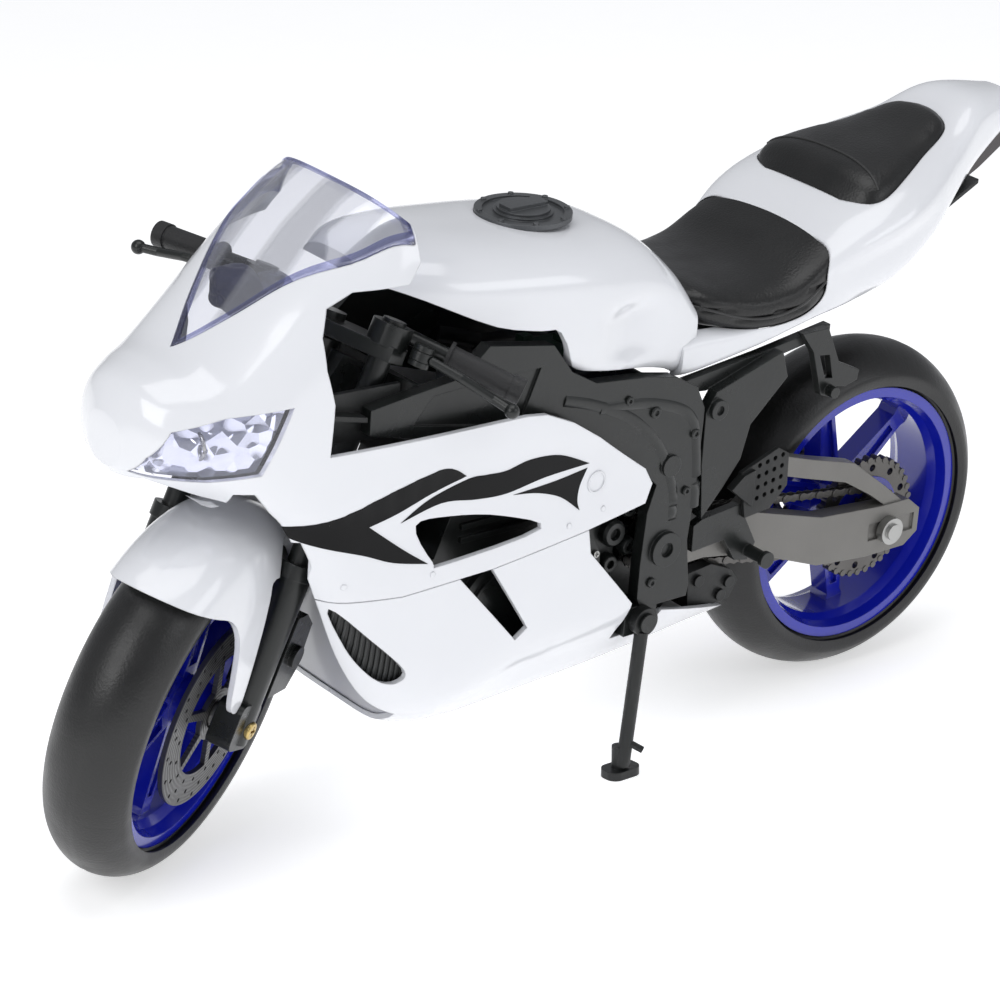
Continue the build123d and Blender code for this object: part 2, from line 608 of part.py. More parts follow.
def power_switch():
    """Slide switch under the tail, its slot facing down."""
    body = block(-106, -94, -3, 3, 120, 124.8)
    return body - block(-103.6, -96.4, -1.2, 1.2, 119, 122.4)


def switch_slider():
    return block(-103.4, -98.8, -1.1, 1.1, 118.6, 122.3)


def steering_servo():
    """Servo case with mounting ears and output boss, in the fork frame."""
    case = block(SERVO_X - 7.5, SERVO_X + 7.5, -7.5, 7.5, SERVO_FOOT, 69.0)
    case += block(SERVO_X - 7.5, SERVO_X + 7.5, -10.5, 10.5, 64.0, 65.4)
    case += disc_z(SERVO_X, 0, 3.4, 68.9, 71.0)
    case -= disc_z(SERVO_X, 0, 1.6 + RUNNING_GAP, 61.5, 80)
    return case


def servo_horn():
    """Output spline, arm and the link pin at its end."""
    horn = disc_z(SERVO_X, 0, 1.6, 62.0, 72.5)
    horn += disc_z(SERVO_X, 0, 3.4, 71.2, 73.8)
    horn += block(SERVO_X - 1.7, SERVO_X + 1.7, -ARM, 0, 71.4, 73.8)
    horn += disc_z(SERVO_X, -ARM, 1.7, 71.4, 73.8)
    horn += disc_z(SERVO_X, -ARM, PIN_R, 73.7, 77.6)
    return horn


def drag_link():
    """Flat link joining the horn pin to the steering arm pin."""
    z0, z1 = LINK_Z
    link = block(SERVO_X, 0, -ARM - 1.3, -ARM + 1.3, z0, z1)
    for x in (SERVO_X, 0.0):
        link += disc_z(x, -ARM, 2.3, z0, z1)
    for x in (SERVO_X, 0.0):
        link -= disc_z(x, -ARM, PIN_R + RUNNING_GAP, z0 - 1, z1 + 1)
    return link


# ================================================================ tank, seats, tail
def fuel_tank():
    inner = [(min(x, 70.0) if x > 0 else max(x, -34.0), *rest) for x, *rest in TANK]
    shell = loft_body(TANK) - loft_body(inner, 2.0)
    edge = [(80, 164), (70, 161), (60, 157.5), (40, 148.4), (26, 145), (19, 143.3), (12, 131.4),
            (4, 129.3), (-15, 127.8), (-25, 126.3), (-29.5, 123.5), (-36, 118.5)]
    shell = shell & side_plate(edge + [(-45, 118.5), (-45, 190), (80, 190)], -50, 50)
    return shell - disc_z(9, 0, 8.0, 150, 180) - disc_z(9, 0, 13.5, 164.85, 180)


def fuel_cap():
    """Filler flange with raised key cover, small screws and a hinge lug."""
    cap = disc_z(9, 0, 13.4, 164.9, 166.4) + disc_z(9, 0, 7.9, 160, 165)
    cap -= disc_z(9, 0, 11.2, 165.7, 168) - disc_z(9, 0, 8.2, 165, 169)
    cap += disc_z(9, 0, 7.4, 166.3, 167.3)
    cap += block(2.5, 15.5, -2.4, 2.4, 167.2, 168.4)
    for i in range(8):
        a = math.radians(22.5 + 45 * i)
        cap += disc_z(9 + 12.3 * math.cos(a), 12.3 * math.sin(a), 0.8, 166.3, 166.9)
    return cap


RIDER_SEAT = [
    (-36.3, 131.0, 141.5, 19.0, 137.0, 0.60, 0.60),
    (-42.0, 129.0, 141.0, 23.5, 135.5, 0.55, 0.55),
    (-55.0, 127.0, 139.5, 27.5, 132.0, 0.50, 0.50),
    (-70.0, 127.0, 140.0, 29.0, 132.0, 0.50, 0.50),
    (-81.0, 129.5, 144.0, 28.5, 135.5, 0.50, 0.50),
    (-88.0, 135.0, 148.0, 26.0, 141.5, 0.60, 0.60),
]
PILLION_SEAT = [
    (-94.5, 149.0, 158.0, 18.5, 153.0, 0.70, 0.70),
    (-99.5, 147.0, 164.0, 24.5, 152.5, 0.60, 0.60),
    (-108.0, 149.0, 166.3, 24.3, 155.5, 0.60, 0.60),
    (-125.0, 156.5, 169.5, 18.0, 161.0, 0.60, 0.60),
    (-137.0, 161.5, 173.0, 13.0, 166.5, 0.60, 0.60),
    (-141.0, 163.5, 173.0, 9.0, 168.0, 0.75, 0.75),
]
SEAT_GAP = 0.3


def rider_seat(gap=0.0):
    return loft_body(RIDER_SEAT, -gap)


def pillion_seat(gap=0.0):
    return loft_body(PILLION_SEAT, -gap)


def tail_cowl():
    """Seat-side panels and humped tail in one moulding, cut away for both seats."""
    body = skin(TAIL, TAIL[-1][0])
    body = body - rider_seat(SEAT_GAP) - pillion_seat(SEAT_GAP)
    body -= block(-74, -30, -22, 22, 110, 150)
    body -= block(-36.3, -20, -40, 40, 100, 150)
    return body


def tail_lamp():
    """Dark lamp body tucked under the tip of the tail."""
    body = side_plate([(-141, 149.5), (-152, 155.5), (-165, 163.5), (-170.5, 168.0),
                       (-173, 165.5), (-171.5, 161.0), (-160, 153.5), (-148, 147.5)], -7, 7)
    return body - loft_body(TAIL, -0.1)


def undertray():
    """Mudguard tray closing the tail from below."""
    top = [(-40, 116.3), (-58, 120.8), (-75, 124.8), (-92, 126.3), (-108, 129.2), (-122, 136.0),
           (-138, 145.8)]
    low = [(x, z - 1.8) for x, z in reversed(top)]
    return side_plate(top + low, -22.9, 22.9)


# ================================================================ fairing
WINDSCREEN_PLAN = [(121.5, 0), (111, 8.5), (98, 17), (85, 25), (69, 29.5)]
SCREEN_REAR = [(60, 172.2), (69.3, 181.5), (78, 190.2)]
COWL_OUTLINE = [(160, 135), (150, 110), (138, 120.7), (132, 118.5), (125, 115.4), (118, 113.3),
                (121, 110), (102, 91), (97.6, 83.6), (92, 82.6), (85, 82.0), (70.6, 80.4),
                (54, 80.9), (40.5, 81.2), (6.4, 84.5), (-14.5, 87.2), (-17, 92.5), (-14, 97.5),
                (-5, 104), (5, 111.5), (15, 118), (25, 122.5), (32, 123.5), (95.5, 125),
                (94.5, 139), (96.3, 148), (96.3, 156), (93.8, 162.6), (87, 166.3), (72, 167),
                (68, 172), (68, 195), (160, 195)]
INTAKE = [(67, 99.7), (55.5, 99.9), (38, 96), (24, 89), (57, 86.4), (61, 88)]
LOWER_OUTLINE = [(97.4, 83.0), (92, 82.4), (85, 81.8), (70.6, 80.2), (54, 80.7), (40.5, 81.0),
                 (6.4, 84.3), (5, 77), (-13.5, 56.5), (-11, 44), (-25, 44), (-27, 50.3),
                 (-57, 41.5), (-57, 20), (100, 20), (100, 60)]
VENT = [(52.5, 82), (41, 82), (26, 59.8), (30, 57)]
DUCT = [(95, 80.5), (81, 70), (67.5, 57.5), (70, 53.5), (75, 53.5), (84, 60)]
HEADLIGHT = [(140, 121.5), (138.5, 127), (134, 134.5), (122, 138), (105.5, 139.8), (114, 122.6),
             (126, 121.2)]


def windscreen_prism(gap=0.0):
    tip = (WINDSCREEN_PLAN[0][0] + 2 * gap, 0)
    half = [tip] + [(x + gap, y + gap) for x, y in WINDSCREEN_PLAN[1:]]
    rear = 68.8 - gap
    outline = half + [(rear, half[-1][1]), (rear, -half[-1][1])]
    outline += [(x, -y) for x, y in reversed(half[1:])]
    return plan_plate(outline, 140, 200)


def screen_trim():
    """Everything ahead of and below the sloping rear edge of the windscreen."""
    return side_plate(SCREEN_REAR + [(160, 190.2), (160, 20), (-30, 20), (-30, 172.2)], -60, 60)


def wheel_channel():
    """Room between the side panels for the turning front wheel, fork and calipers."""
    return block(66, 119.5, -29, 29, 10, 117) + block(97, 108, -30.4, 30.4, 85, 101)


def upper_cowl():
    """Nose and upper side panels, open to the rear, with the lamp and intake openings."""
    shell = skin(FAIRING[:-1], FAIRING[0][0])
    shell = shell & side_plate(COWL_OUTLINE, -60, 60) & screen_trim()
    shell = shell - windscreen_prism(0.3) - wheel_channel()
    shell -= both_sides(side_plate(HEADLIGHT, 6, 60))
    shell -= both_sides(side_plate(INTAKE, 6, 60))
    return largest(shell)


def windscreen():
    return skin(FAIRING[:-1]) & windscreen_prism() & screen_trim()


def lamp_pane(outer_inset, inner_inset):
    """Curved pane that fills both lamp openings between two depths of the shell."""
    stations = FAIRING[:8]
    pane = loft_body(stations, outer_inset) - loft_body(stations, inner_inset)
    opening = side_plate([(x * 0.99 + 1.2, z * 0.985 + 1.95) for x, z in HEADLIGHT], 6.3, 59)
    return pane & both_sides(opening)


def lower_fairing():
    """Left belly half with its side vent and front duct opening."""
    shell = skin(FAIRING[4:])
    shell = shell & side_plate(LOWER_OUTLINE, 0.1, 60)
    shell -= side_plate(VENT, 6, 60)
    shell -= side_plate(DUCT, 14, 60)
    return shell - wheel_channel()


def duct_inserts():
    """Ribbed mesh panels behind the belly's front openings."""
    stations = FAIRING[4:9]
    panel = loft_body(stations, SKIN + 0.3) - loft_body(stations, SKIN + 1.5)
    panel = panel & side_plate([(97, 82), (80, 74), (64, 58), (68, 51), (77, 51), (86, 59)], 12, 60)
    return both_sides(panel - wheel_channel())


def inner_panels():
    """Black side ducts between the steering head and the cowl."""
    panel = side_plate([(67, 122), (95, 125), (94, 138), (68, 137)], SPAR_IN - 1.5, SPAR_IN)
    rib = side_plate([(81, 130), (93.5, 133), (93.3, 134.4), (81, 131.4)], SPAR_IN, SPAR_IN + 4)
    return both_sides(panel + rib)


def instrument_panel():
    """Dashboard hump on a stay behind the windscreen."""
    dash = side_plate([(97.5, 146), (100, 151.5), (113, 146.5), (119, 142.5), (117, 140)], -15, 15)
    dash = dash + side_plate([(116, 139.8), (119.5, 142.5), (128, 138), (126, 136)], -6, 6)
    return dash


def radiator():
    core = block(60.5, 64.5, -27, 27, 48, 80)
    for i in range(9):
        core -= block(64.0, 66, -25, 25, 50 + 3.2 * i, 51.5 + 3.2 * i)
    core += block(59.5, 61, -24, 24, 78, 82)
    return core


# ================================================================ steered and sprung pieces
def steering_stem():
    z0, z1 = LOWER_CLAMP
    clamp = block(-6, 9.5, -24, 24, z0, z1)
    clamp = fillet(clamp.edges().filter_by(Axis.Z), 4.0)
    clamp += disc_z(0, 0, STEM_R, z0, UPPER_CLAMP[1])
    clamp += disc_z(0, 0, HEAD_R, z1 - 0.5, 77.9)
    clamp += disc_z(0, -ARM, PIN_R + 0.9, z1 - 0.5, LINK_Z[0] - 0.2)
    clamp += disc_z(0, -ARM, PIN_R, z1 - 0.5, LINK_Z[1] + 1.2)
    return clamp - fork_tube_holes(z0, z1)


def fork_tube_holes(z0, z1):
    return fused([disc_z(LEG_X, side * LEG_Y, TUBE_R, z0 - 1, z1 + 1) for side in (-1, 1)])


def upper_clamp():
    z0, z1 = UPPER_CLAMP
    clamp = plan_plate([(9.5, -23), (9.5, 23), (4, 25), (-1.5, 23), (-6, 8), (-6, -8), (-1.5, -23),
                        (4, -25)], z0, z1)
    clamp -= fork_tube_holes(z0, z1)
    clamp -= disc_z(0, 0, STEM_R, z0 - 1, z1 + 1)
    clamp += disc_z(0, 0, 4.6, z1, z1 + 2.0)
    return clamp


def fork_tubes():
    return Compound(children=[disc_z(LEG_X, side * LEG_Y, TUBE_R, TUBE_FOOT, 114.5)
                              for side in (-1, 1)])


BAR_START = (1.5, 22.5, 111.6)
BAR_END = (-6.2, 53.5, 109.2)
BAR_R = 2.0
LEVER_PIVOT = (5.6, 29.5, 108.6)


def bar_point(t):
    return tuple(a + (b - a) * t for a, b in zip(BAR_START, BAR_END))


def handlebars():
    """Upper clamp moulded in one with the bar clamps, bars and lever perches."""
    clamp = disc_z(LEG_X, LEG_Y, 5.6, UPPER_CLAMP[1] - 0.5, 113.5)
    clamp -= disc_z(LEG_X, LEG_Y, TUBE_R, 100, 120)
    bar = rod(BAR_START, BAR_END, BAR_R)
    bar -= disc_z(LEG_X, LEG_Y, 4.0, 100, 120)
    x, y, z = LEVER_PIVOT
    perch = disc_z(x, y, 3.0, z - 1.2, z + 1.2)
    perch += block(-0.6, x, y - 1.6, y + 1.6, z - 1.2, z + 1.2)
    perch -= disc_z(x, y, 1.0, z - 5, z + 5)
    half = fused([clamp, bar, perch])
    return fused([upper_clamp(), half, mirrored(half)])


def grips():
    """Rubber sleeves with a flange, ribs and an end weight."""
    sleeve = rod(bar_point(0.36), bar_point(0.985), 3.2)
    sleeve += rod(bar_point(0.36), bar_point(0.39), 4.0)
    sleeve += rod(bar_point(0.93), bar_point(1.04), 3.6)
    sleeve -= rod(BAR_START, bar_point(1.0 + FIT_GAP), BAR_R + FIT_GAP)
    return both_sides(sleeve)


def lever():
    """Left lever: pivot fork, bowed blade and ball end."""
    px, py, pz = LEVER_PIVOT
    eye = Pos(px, py, pz) * (Cylinder(2.8, 5.6) - Box(12, 12, 2.6))
    pin = Pos(px, py, pz) * Cylinder(1.0 - RUNNING_GAP, 5.6)
    points = [(px + 0.6, py + 2.2, pz), (px - 0.8, py + 12, pz - 1.2), (0.6, 50, 105.4),
              (0.6, 56, 104.4)]
    blade = fused([rod(a, b, 1.25) for a, b in zip(points, points[1:])])
    blade += Pos(*points[1]) * Sphere(1.25) + Pos(*points[2]) * Sphere(1.25)
    blade -= Pos(px, py, pz) * Cylinder(3.4, 2.6)
    return fused([eye, pin, blade, Pos(*points[3]) * Sphere(2.0)])


def fork_sliders():
    """Lower legs with axle clamps, ahead of which the mudguard screws on."""
    leg = disc_z(LEG_X, LEG_Y, SLIDER_R, -4.5, SLIDER_TOP)
    leg += disc_z(LEG_X, LEG_Y, SLIDER_R + 0.6, SLIDER_TOP - 4, SLIDER_TOP)
    foot = block(LEG_X - 5.2, LEG_X + 8.5, LEG_Y - 3.6, LEG_Y + 3.6, -6, 7)
    leg += fillet(foot.edges().filter_by(Axis.Y), 2.6)
    leg -= disc_z(LEG_X, LEG_Y, TUBE_R + RUNNING_GAP, 6.5, SLIDER_TOP + 5)
    leg -= disc_y(LEG_X, 0, AXLE_R + FIT_GAP, LEG_Y - 10, LEG_Y + 10)
    return both_sides(leg)


def front_axle():
    axle = disc_y(LEG_X, 0, AXLE_R, -22.6, 22.6)
    axle += ring_y(LEG_X, 0, 3.6, AXLE_R - 0.5, 11.5, 14.2)
    axle += ring_y(LEG_X, 0, 3.6, AXLE_R - 0.5, -14.2, -11.5)
    return axle


def axle_screws():
    """Brass cross-recessed screws in the ends of the front axle clamps."""
    head = disc_y(LEG_X, 0, 2.5, LEG_Y + 3.65, LEG_Y + 5.4)
    head = fillet(head.edges().sort_by(Axis.Y)[-1], 0.6)
    head -= block(LEG_X - 1.5, LEG_X + 1.5, LEG_Y + 4.6, LEG_Y + 6, -0.35, 0.35)
    head -= block(LEG_X - 0.35, LEG_X + 0.35, LEG_Y + 4.6, LEG_Y + 6, -1.5, 1.5)
    return both_sides(head)


def front_calipers():
    """Calipers behind the legs, straddling the brake discs."""
    body = side_plate([(-3.0, 8), (-14.5, 10), (-17.5, 16), (-15.5, 29), (-9, 32), (-3.0, 31)],
                      9.6, 22.4)
    body -= side_plate(arc_points(LEG_X, 0, 27.3, 95, 200, 16)
                       + arc_points(LEG_X, 0, 6.0, 200, 95, 10), 10.9, 13.3)
    body -= disc_z(LEG_X, LEG_Y, SLIDER_R, -10, 60)
    body += disc_y(-10, 20, 3.2, 22.2, 24.0)
    return both_sides(body)


def front_fender():
    """Mudguard hoop over the tyre with a side tongue down each leg."""
    outer, inner, half = 56.2, 54.7, 16.6
    hoop = spun_y([(outer, -10), (outer, 10), (outer - 5, half), (outer - 14, half + 0.8),
                   (outer - 14, half - 0.8), (inner - 5, half - 1.6), (inner, 9),
                   (inner, -9), (inner - 5, -half + 1.6), (outer - 14, -half + 0.8),
                   (outer - 14, -half - 0.8), (outer - 5, -half)], 0, 0)
    hoop = Pos(LEG_X, 0, 0) * hoop
    window = arc_points(LEG_X, 0, 80, 30, 120, 14) + arc_points(LEG_X, 0, 42, 120, 30, 8)
    hoop = hoop & side_plate(window, -40, 40)
    for side in (-1, 1):
        hoop -= disc_z(LEG_X, side * LEG_Y, SLIDER_R + 0.9, 30, 70)
    tongue = side_plate([(LEG_X + 17, 47), (LEG_X + 15, 30), (LEG_X + 12.5, 12), (LEG_X + 10, 5),
                         (LEG_X + 16, 5), (LEG_X + 21, 14), (LEG_X + 26, 30), (LEG_X + 30, 45)],
                        LEG_Y + 3.8, LEG_Y + 5.4)
    bridge = side_plate([(LEG_X + 15, 42), (LEG_X + 15.5, 47.5), (LEG_X + 30, 45.5),
                         (LEG_X + 28.5, 40.5)], half - 0.2, LEG_Y + 5.4)
    return fused([hoop, both_sides_fused(tongue + bridge)])


def both_sides_fused(shape):
    return shape + mirrored(shape)


STAND_PIVOT = (-19.0, 49.5)
FOOT_CENTRE = (-13.0, 34.5)  # x, y of the stand foot on the ground
STAND_PIN_R = 1.6


def side_stand():
    """Prop leg with pivot eye and foot, hanging from the left frame plate."""
    eye = disc_y(*STAND_PIVOT, 4.2, SPAR_OUT + 0.1, SPAR_OUT + 3.1)
    leg = rod((STAND_PIVOT[0] + 0.8, SPAR_OUT + 2.2, STAND_PIVOT[1] - 3), (-12.5, 35.6, 7), 2.0)
    tang = rod((-12.6, 34.6, 15), (-16.5, 39.0, 12.5), 1.0)
    hole = disc_y(*STAND_PIVOT, STAND_PIN_R + RUNNING_GAP, 20, 50)
    return fused([eye, leg, tang]) - hole


def stand_foot():
    """Pad lying flat on the ground once the machine leans."""
    x, y = FOOT_CENTRE
    pad = Pos(x, y, 1.25) * Box(11, 7.6, 2.5)
    pad = fillet(pad.edges().filter_by(Axis.Z), 3.0)
    return pad + rod((x + 0.4, y, 1.5), (x + 0.4, y, 9), 2.2)


def stand_pin():
    """Shouldered pin on the left frame plate for the stand's eye."""
    x, z = STAND_PIVOT
    pin = disc_y(x, z, STAND_PIN_R, SPAR_OUT - 1, SPAR_OUT + 3.6)
    return pin + disc_y(x, z, 2.8, SPAR_OUT + 3.2, SPAR_OUT + 4.2)


# ================================================================ placing and export
def crown_radius(half):
    return (half ** 2 + SHOULDER_DROP ** 2) / (2 * SHOULDER_DROP)


def stance_lift():
    """Height that puts the leaned rear tyre on the ground."""
    crown = crown_radius(REAR_TYRE_HALF)
    lean = math.radians(LEAN_DEG)
    return crown + (REAR_TYRE_R - crown) * math.cos(lean) - REAR_AXLE[1] * math.cos(lean)


def leaned(shape):
    """From the bike frame to the finished stance."""
    shift = Pos(ORIGIN_SHIFT[0], ORIGIN_SHIFT[1], stance_lift())
    return shift * Rot(-LEAN_DEG, 0, 0) * shape


def raked(shape):
    """From the fork frame to the finished stance, steering straight."""
    return leaned(on_rake(shape))


def steered(shape):
    """From the fork frame to the finished stance, steering turned."""
    return leaned(on_rake(Rot(0, 0, STEER_DEG) * shape))


def turned_horn(shape):
    """Servo horn turned with the steering about its own axis."""
    return raked(Pos(SERVO_X, 0, 0) * Rot(0, 0, STEER_DEG) * Pos(-SERVO_X, 0, 0) * shape)


def shifted_link(shape):
    """The link keeps its direction and moves with the horn pin."""
    a = math.radians(STEER_DEG)
    return raked(Pos(ARM * math.sin(a), ARM * (1 - math.cos(a)), 0) * shape)


def bike_nodes():
    """Pieces drawn in the bike frame."""
    left_case, right_case = engine_halves()
    lower = lower_fairing()
    nodes = {
        "main_frame": main_frame() + stand_pin(),
        "engine_case_left": left_case,
        "engine_case_right": right_case,
        "case_screws": case_screws(),
        "footrest_hangers": footrest_hangers(),
        "heel_guards": heel_guards(),
        "exhaust_box": exhaust_box(),
        "pillion_hangers": pillion_hangers(),
        "battery_pack": battery_pack(),
        "control_board": control_board(),
        "power_switch": power_switch(),
        "switch_slider": switch_slider(),
        "fuel_tank": fuel_tank(),
        "fuel_cap": fuel_cap(),
        "rider_seat": rider_seat(),
        "pillion_seat": pillion_seat(),
        "tail_cowl": tail_cowl(),
        "tail_lamp": tail_lamp(),
        "undertray": undertray(),
        "upper_cowl": upper_cowl(),
        "windscreen": windscreen(),
        "headlight_lenses": lamp_pane(0.0, 1.0),
        "headlight_reflectors": lamp_pane(2.2, 3.4),
        "lower_fairing_left": lower,
        "lower_fairing_right": mirrored(lower),
        "duct_inserts": duct_inserts(),
        "inner_panels": inner_panels(),
        "instrument_panel": instrument_panel(),
        "radiator": radiator(),
        "swingarm": swingarm(),
        "rear_axle": rear_axle(),
        "rear_caliper": rear_caliper(),
        "drive_chain": drive_chain(),
    }
    nodes.update(drive_train())
    nodes.update(rear_wheel())
    return nodes


def steered_nodes():
    """Pieces drawn in the fork frame that turn with the handlebars."""
    left_lever = lever()
    nodes = {
        "steering_stem": steering_stem(),
        "fork_tubes": fork_tubes(),
        "handlebars": handlebars(),
        "handlebar_grips": grips(),
        "clutch_lever": left_lever,
        "brake_lever": mirrored(left_lever),
        "fork_sliders": fork_sliders(),
        "front_fender": front_fender(),
        "front_calipers": front_calipers(),
        "front_axle": front_axle(),
        "axle_screws": axle_screws(),
    }
    nodes.update(front_wheel())
    return nodes


def all_nodes():
    nodes = {name: leaned(shape) for name, shape in bike_nodes().items()}
    nodes.update({name: steered(shape) for name, shape in steered_nodes().items()})
    nodes["steering_servo"] = raked(steering_servo())
    nodes["servo_horn"] = turned_horn(servo_horn())
    nodes["drag_link"] = shifted_link(drag_link())
    foot = Pos(ORIGIN_SHIFT[0], ORIGIN_SHIFT[1], 0) * stand_foot()
    nodes["side_stand"] = leaned(side_stand()) + foot
    return nodes


os.makedirs("parts", exist_ok=True)
for node, shape in all_nodes().items():
    export_step(shape, f"parts/{node}.step")
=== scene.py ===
import math

import bmesh
import bpy
from mathutils import Matrix, Vector


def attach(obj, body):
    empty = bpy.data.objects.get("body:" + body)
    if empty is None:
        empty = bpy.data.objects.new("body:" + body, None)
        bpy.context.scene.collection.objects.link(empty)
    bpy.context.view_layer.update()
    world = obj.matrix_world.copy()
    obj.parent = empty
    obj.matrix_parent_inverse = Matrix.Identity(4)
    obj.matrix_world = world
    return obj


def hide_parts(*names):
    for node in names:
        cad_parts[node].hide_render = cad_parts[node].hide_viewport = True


# Looks of the radio-controlled sports motorcycle.  Meshes are drawn in millimetres, in the
# upright "bike frame" or the steered "fork frame" of the CAD source, and set down in the
# shared frame (metres, +X forward, +Z up) by the two matrices below.

# ---------------------------------------------------------------- placing
LEAN_DEG = 6.0
STEER_DEG = 30.0
RAKE_DEG = 23.5
FORK_FOOT = (115.79, 0.0, 48.67)
STANCE = (3.17, -14.71, 0.09)          # origin shift and the lift of the leaned tyres
TO_METRES = Matrix.Scale(0.001, 4)
BIKE = TO_METRES @ Matrix.Translation(STANCE) @ Matrix.Rotation(math.radians(-LEAN_DEG), 4, "X")
STRAIGHT_FORK = (BIKE @ Matrix.Translation(FORK_FOOT)
                 @ Matrix.Rotation(math.radians(-RAKE_DEG), 4, "Y"))
FORK = STRAIGHT_FORK @ Matrix.Rotation(math.radians(STEER_DEG), 4, "Z")

# ---------------------------------------------------------------- camera, bike front left, mm
CAMERA_AT = (605.6, 737.9, 411.7)
CAMERA_AIM = (-67.5, -107.4, 35.4)
CAMERA_LENS = 130.2

# ---------------------------------------------------------------- shared dimensions, mm
SKIN = 1.6
REAR_AXLE = (-120.0, 52.0)
PIVOT = (-30.0, 66.0)
LEG_X = 4.585
LEG_Y = 19.0
CHAIN_PITCH = 3.4
REAR_TEETH = 16
FRONT_TEETH = 12

# Stations: x, lowest z, highest z, half width, z of the widest point, squareness above and
# below it.
FAIRING = [
    (141.5, 120.5, 134.5, 7.5, 127.0, 0.90, 0.92),
    (137.5, 116.0, 142.5, 17.0, 127.5, 0.92, 0.95),
    (130.0, 112.5, 146.0, 23.8, 127.5, 0.90, 0.92),
    (121.0, 108.0, 149.0, 28.5, 128.0, 0.86, 0.86),
    (110.0, 98.0, 158.5, 32.0, 126.0, 0.80, 0.80),
    (98.0, 80.0, 170.0, 34.0, 124.0, 0.72, 0.62),
    (85.0, 56.0, 180.0, 35.0, 122.0, 0.62, 0.36),
    (70.0, 38.0, 188.0, 35.5, 118.0, 0.52, 0.34),
    (50.0, 31.0, 188.0, 35.5, 110.0, 0.50, 0.36),
    (20.0, 31.0, 180.0, 35.0, 105.0, 0.50, 0.40),
    (-20.0, 32.5, 150.0, 33.0, 95.0, 0.50, 0.45),
    (-60.0, 36.0, 120.0, 30.0, 80.0, 0.50, 0.50),
]
TANK = [
    (72.0, 150.0, 166.0, 14.0, 158.0, 0.70, 0.70),
    (60.0, 146.0, 168.0, 24.0, 156.0, 0.70, 0.55),
    (45.0, 141.0, 168.0, 29.0, 153.0, 0.70, 0.45),
    (25.0, 136.0, 166.0, 31.0, 150.0, 0.65, 0.38),
    (5.0, 125.0, 164.0, 31.0, 147.0, 0.65, 0.35),
    (-15.0, 121.0, 161.0, 28.5, 142.0, 0.68, 0.35),
    (-28.0, 118.0, 152.0, 26.5, 138.0, 0.72, 0.35),
    (-36.0, 117.0, 141.0, 24.5, 133.0, 0.75, 0.35),
]
TAIL = [
    (-28.0, 117.5, 130.0, 26.9, 125.0, 0.50, 0.50),
    (-36.0, 117.0, 131.0, 26.8, 125.0, 0.50, 0.50),
    (-58.0, 121.5, 131.0, 27.8, 127.0, 0.50, 0.50),
    (-75.0, 125.5, 143.0, 30.5, 134.0, 0.55, 0.55),
    (-92.0, 127.0, 156.0, 33.0, 142.0, 0.60, 0.60),
    (-108.0, 130.0, 162.0, 33.0, 147.0, 0.60, 0.60),
    (-122.0, 137.0, 166.0, 28.5, 153.0, 0.62, 0.62),
    (-138.0, 147.0, 171.0, 21.0, 160.5, 0.65, 0.65),
    (-152.0, 154.0, 177.5, 15.0, 168.0, 0.70, 0.70),
    (-170.0, 164.0, 176.0, 9.0, 171.0, 0.80, 0.80),
]
RIDER_SEAT = [
    (-36.3, 131.0, 141.5, 19.0, 137.0, 0.60, 0.60),
    (-42.0, 129.0, 141.0, 23.5, 135.5, 0.55, 0.55),
    (-55.0, 127.0, 139.5, 27.5, 132.0, 0.50, 0.50),
    (-68.0, 127.0, 141.0, 29.2, 133.0, 0.50, 0.50),
    (-78.0, 129.5, 146.0, 29.0, 138.0, 0.50, 0.50),
    (-86.0, 136.0, 150.5, 27.0, 144.0, 0.55, 0.55),
    (-90.0, 142.0, 151.5, 23.5, 147.5, 0.65, 0.65),
]
PILLION_SEAT = [
    (-94.5, 149.0, 158.0, 18.5, 153.0, 0.70, 0.70),
    (-99.5, 147.0, 164.0, 24.5, 152.5, 0.60, 0.60),
    (-108.0, 149.0, 166.3, 24.3, 155.5, 0.60, 0.60),
    (-125.0, 156.5, 169.5, 18.0, 161.0, 0.60, 0.60),
    (-137.0, 161.5, 173.0, 13.0, 166.5, 0.60, 0.60),
    (-141.0, 163.5, 173.0, 9.0, 168.0, 0.75, 0.75),
]

# Side-view outlines (x, z).
COWL_OUTLINE = [(160, 135), (150, 110), (138, 120.7), (132, 118.5), (125, 115.4), (118, 113.3),
                (121, 110), (102, 91), (97.6, 83.6), (92, 82.6), (85, 82.0), (70.6, 80.4),
                (54, 80.9), (40.5, 81.2), (6.4, 84.5), (-14.5, 87.2), (-17, 92.5), (-14, 97.5),
                (-5, 104), (5, 111.5), (15, 118), (25, 122.5), (32, 123.5), (95.5, 125),
                (94.5, 139), (96.3, 148), (96.3, 156), (93.8, 162.6), (87, 166.3), (72, 167),
                (68, 172), (68, 195), (160, 195)]
SCREEN_TRIM = [(60, 172.2), (69.3, 181.5), (78, 190.2), (160, 190.2), (160, 20), (-30, 20),
               (-30, 172.2)]
INTAKE = [(67, 99.7), (55.5, 99.9), (38, 96), (24, 89), (57, 86.4), (61, 88)]
LOWER_OUTLINE = [(97.4, 83.0), (92, 82.4), (85, 81.8), (70.6, 80.2), (54, 80.7), (40.5, 81.0),
                 (6.4, 84.3), (5, 77), (-13.5, 56.5), (-11, 44), (-25, 44), (-27, 50.3),
                 (-57, 41.5), (-57, 20), (100, 20), (100, 60)]
VENT = [(52.5, 82), (41, 82), (26, 59.8), (30, 57)]
DUCT = [(91.5, 80.3), (80, 70), (67.5, 57.5), (69, 54), (74, 55), (80, 60), (86, 68)]
HEADLIGHT = [(140, 121.5), (138.5, 127), (134, 134.5), (122, 138), (105.5, 139.8), (114, 122.6),
             (126, 121.2)]
SCREEN_PLAN = [(121.5, 0), (111, 8.5), (98, 17), (85, 25), (69, 29.5)]
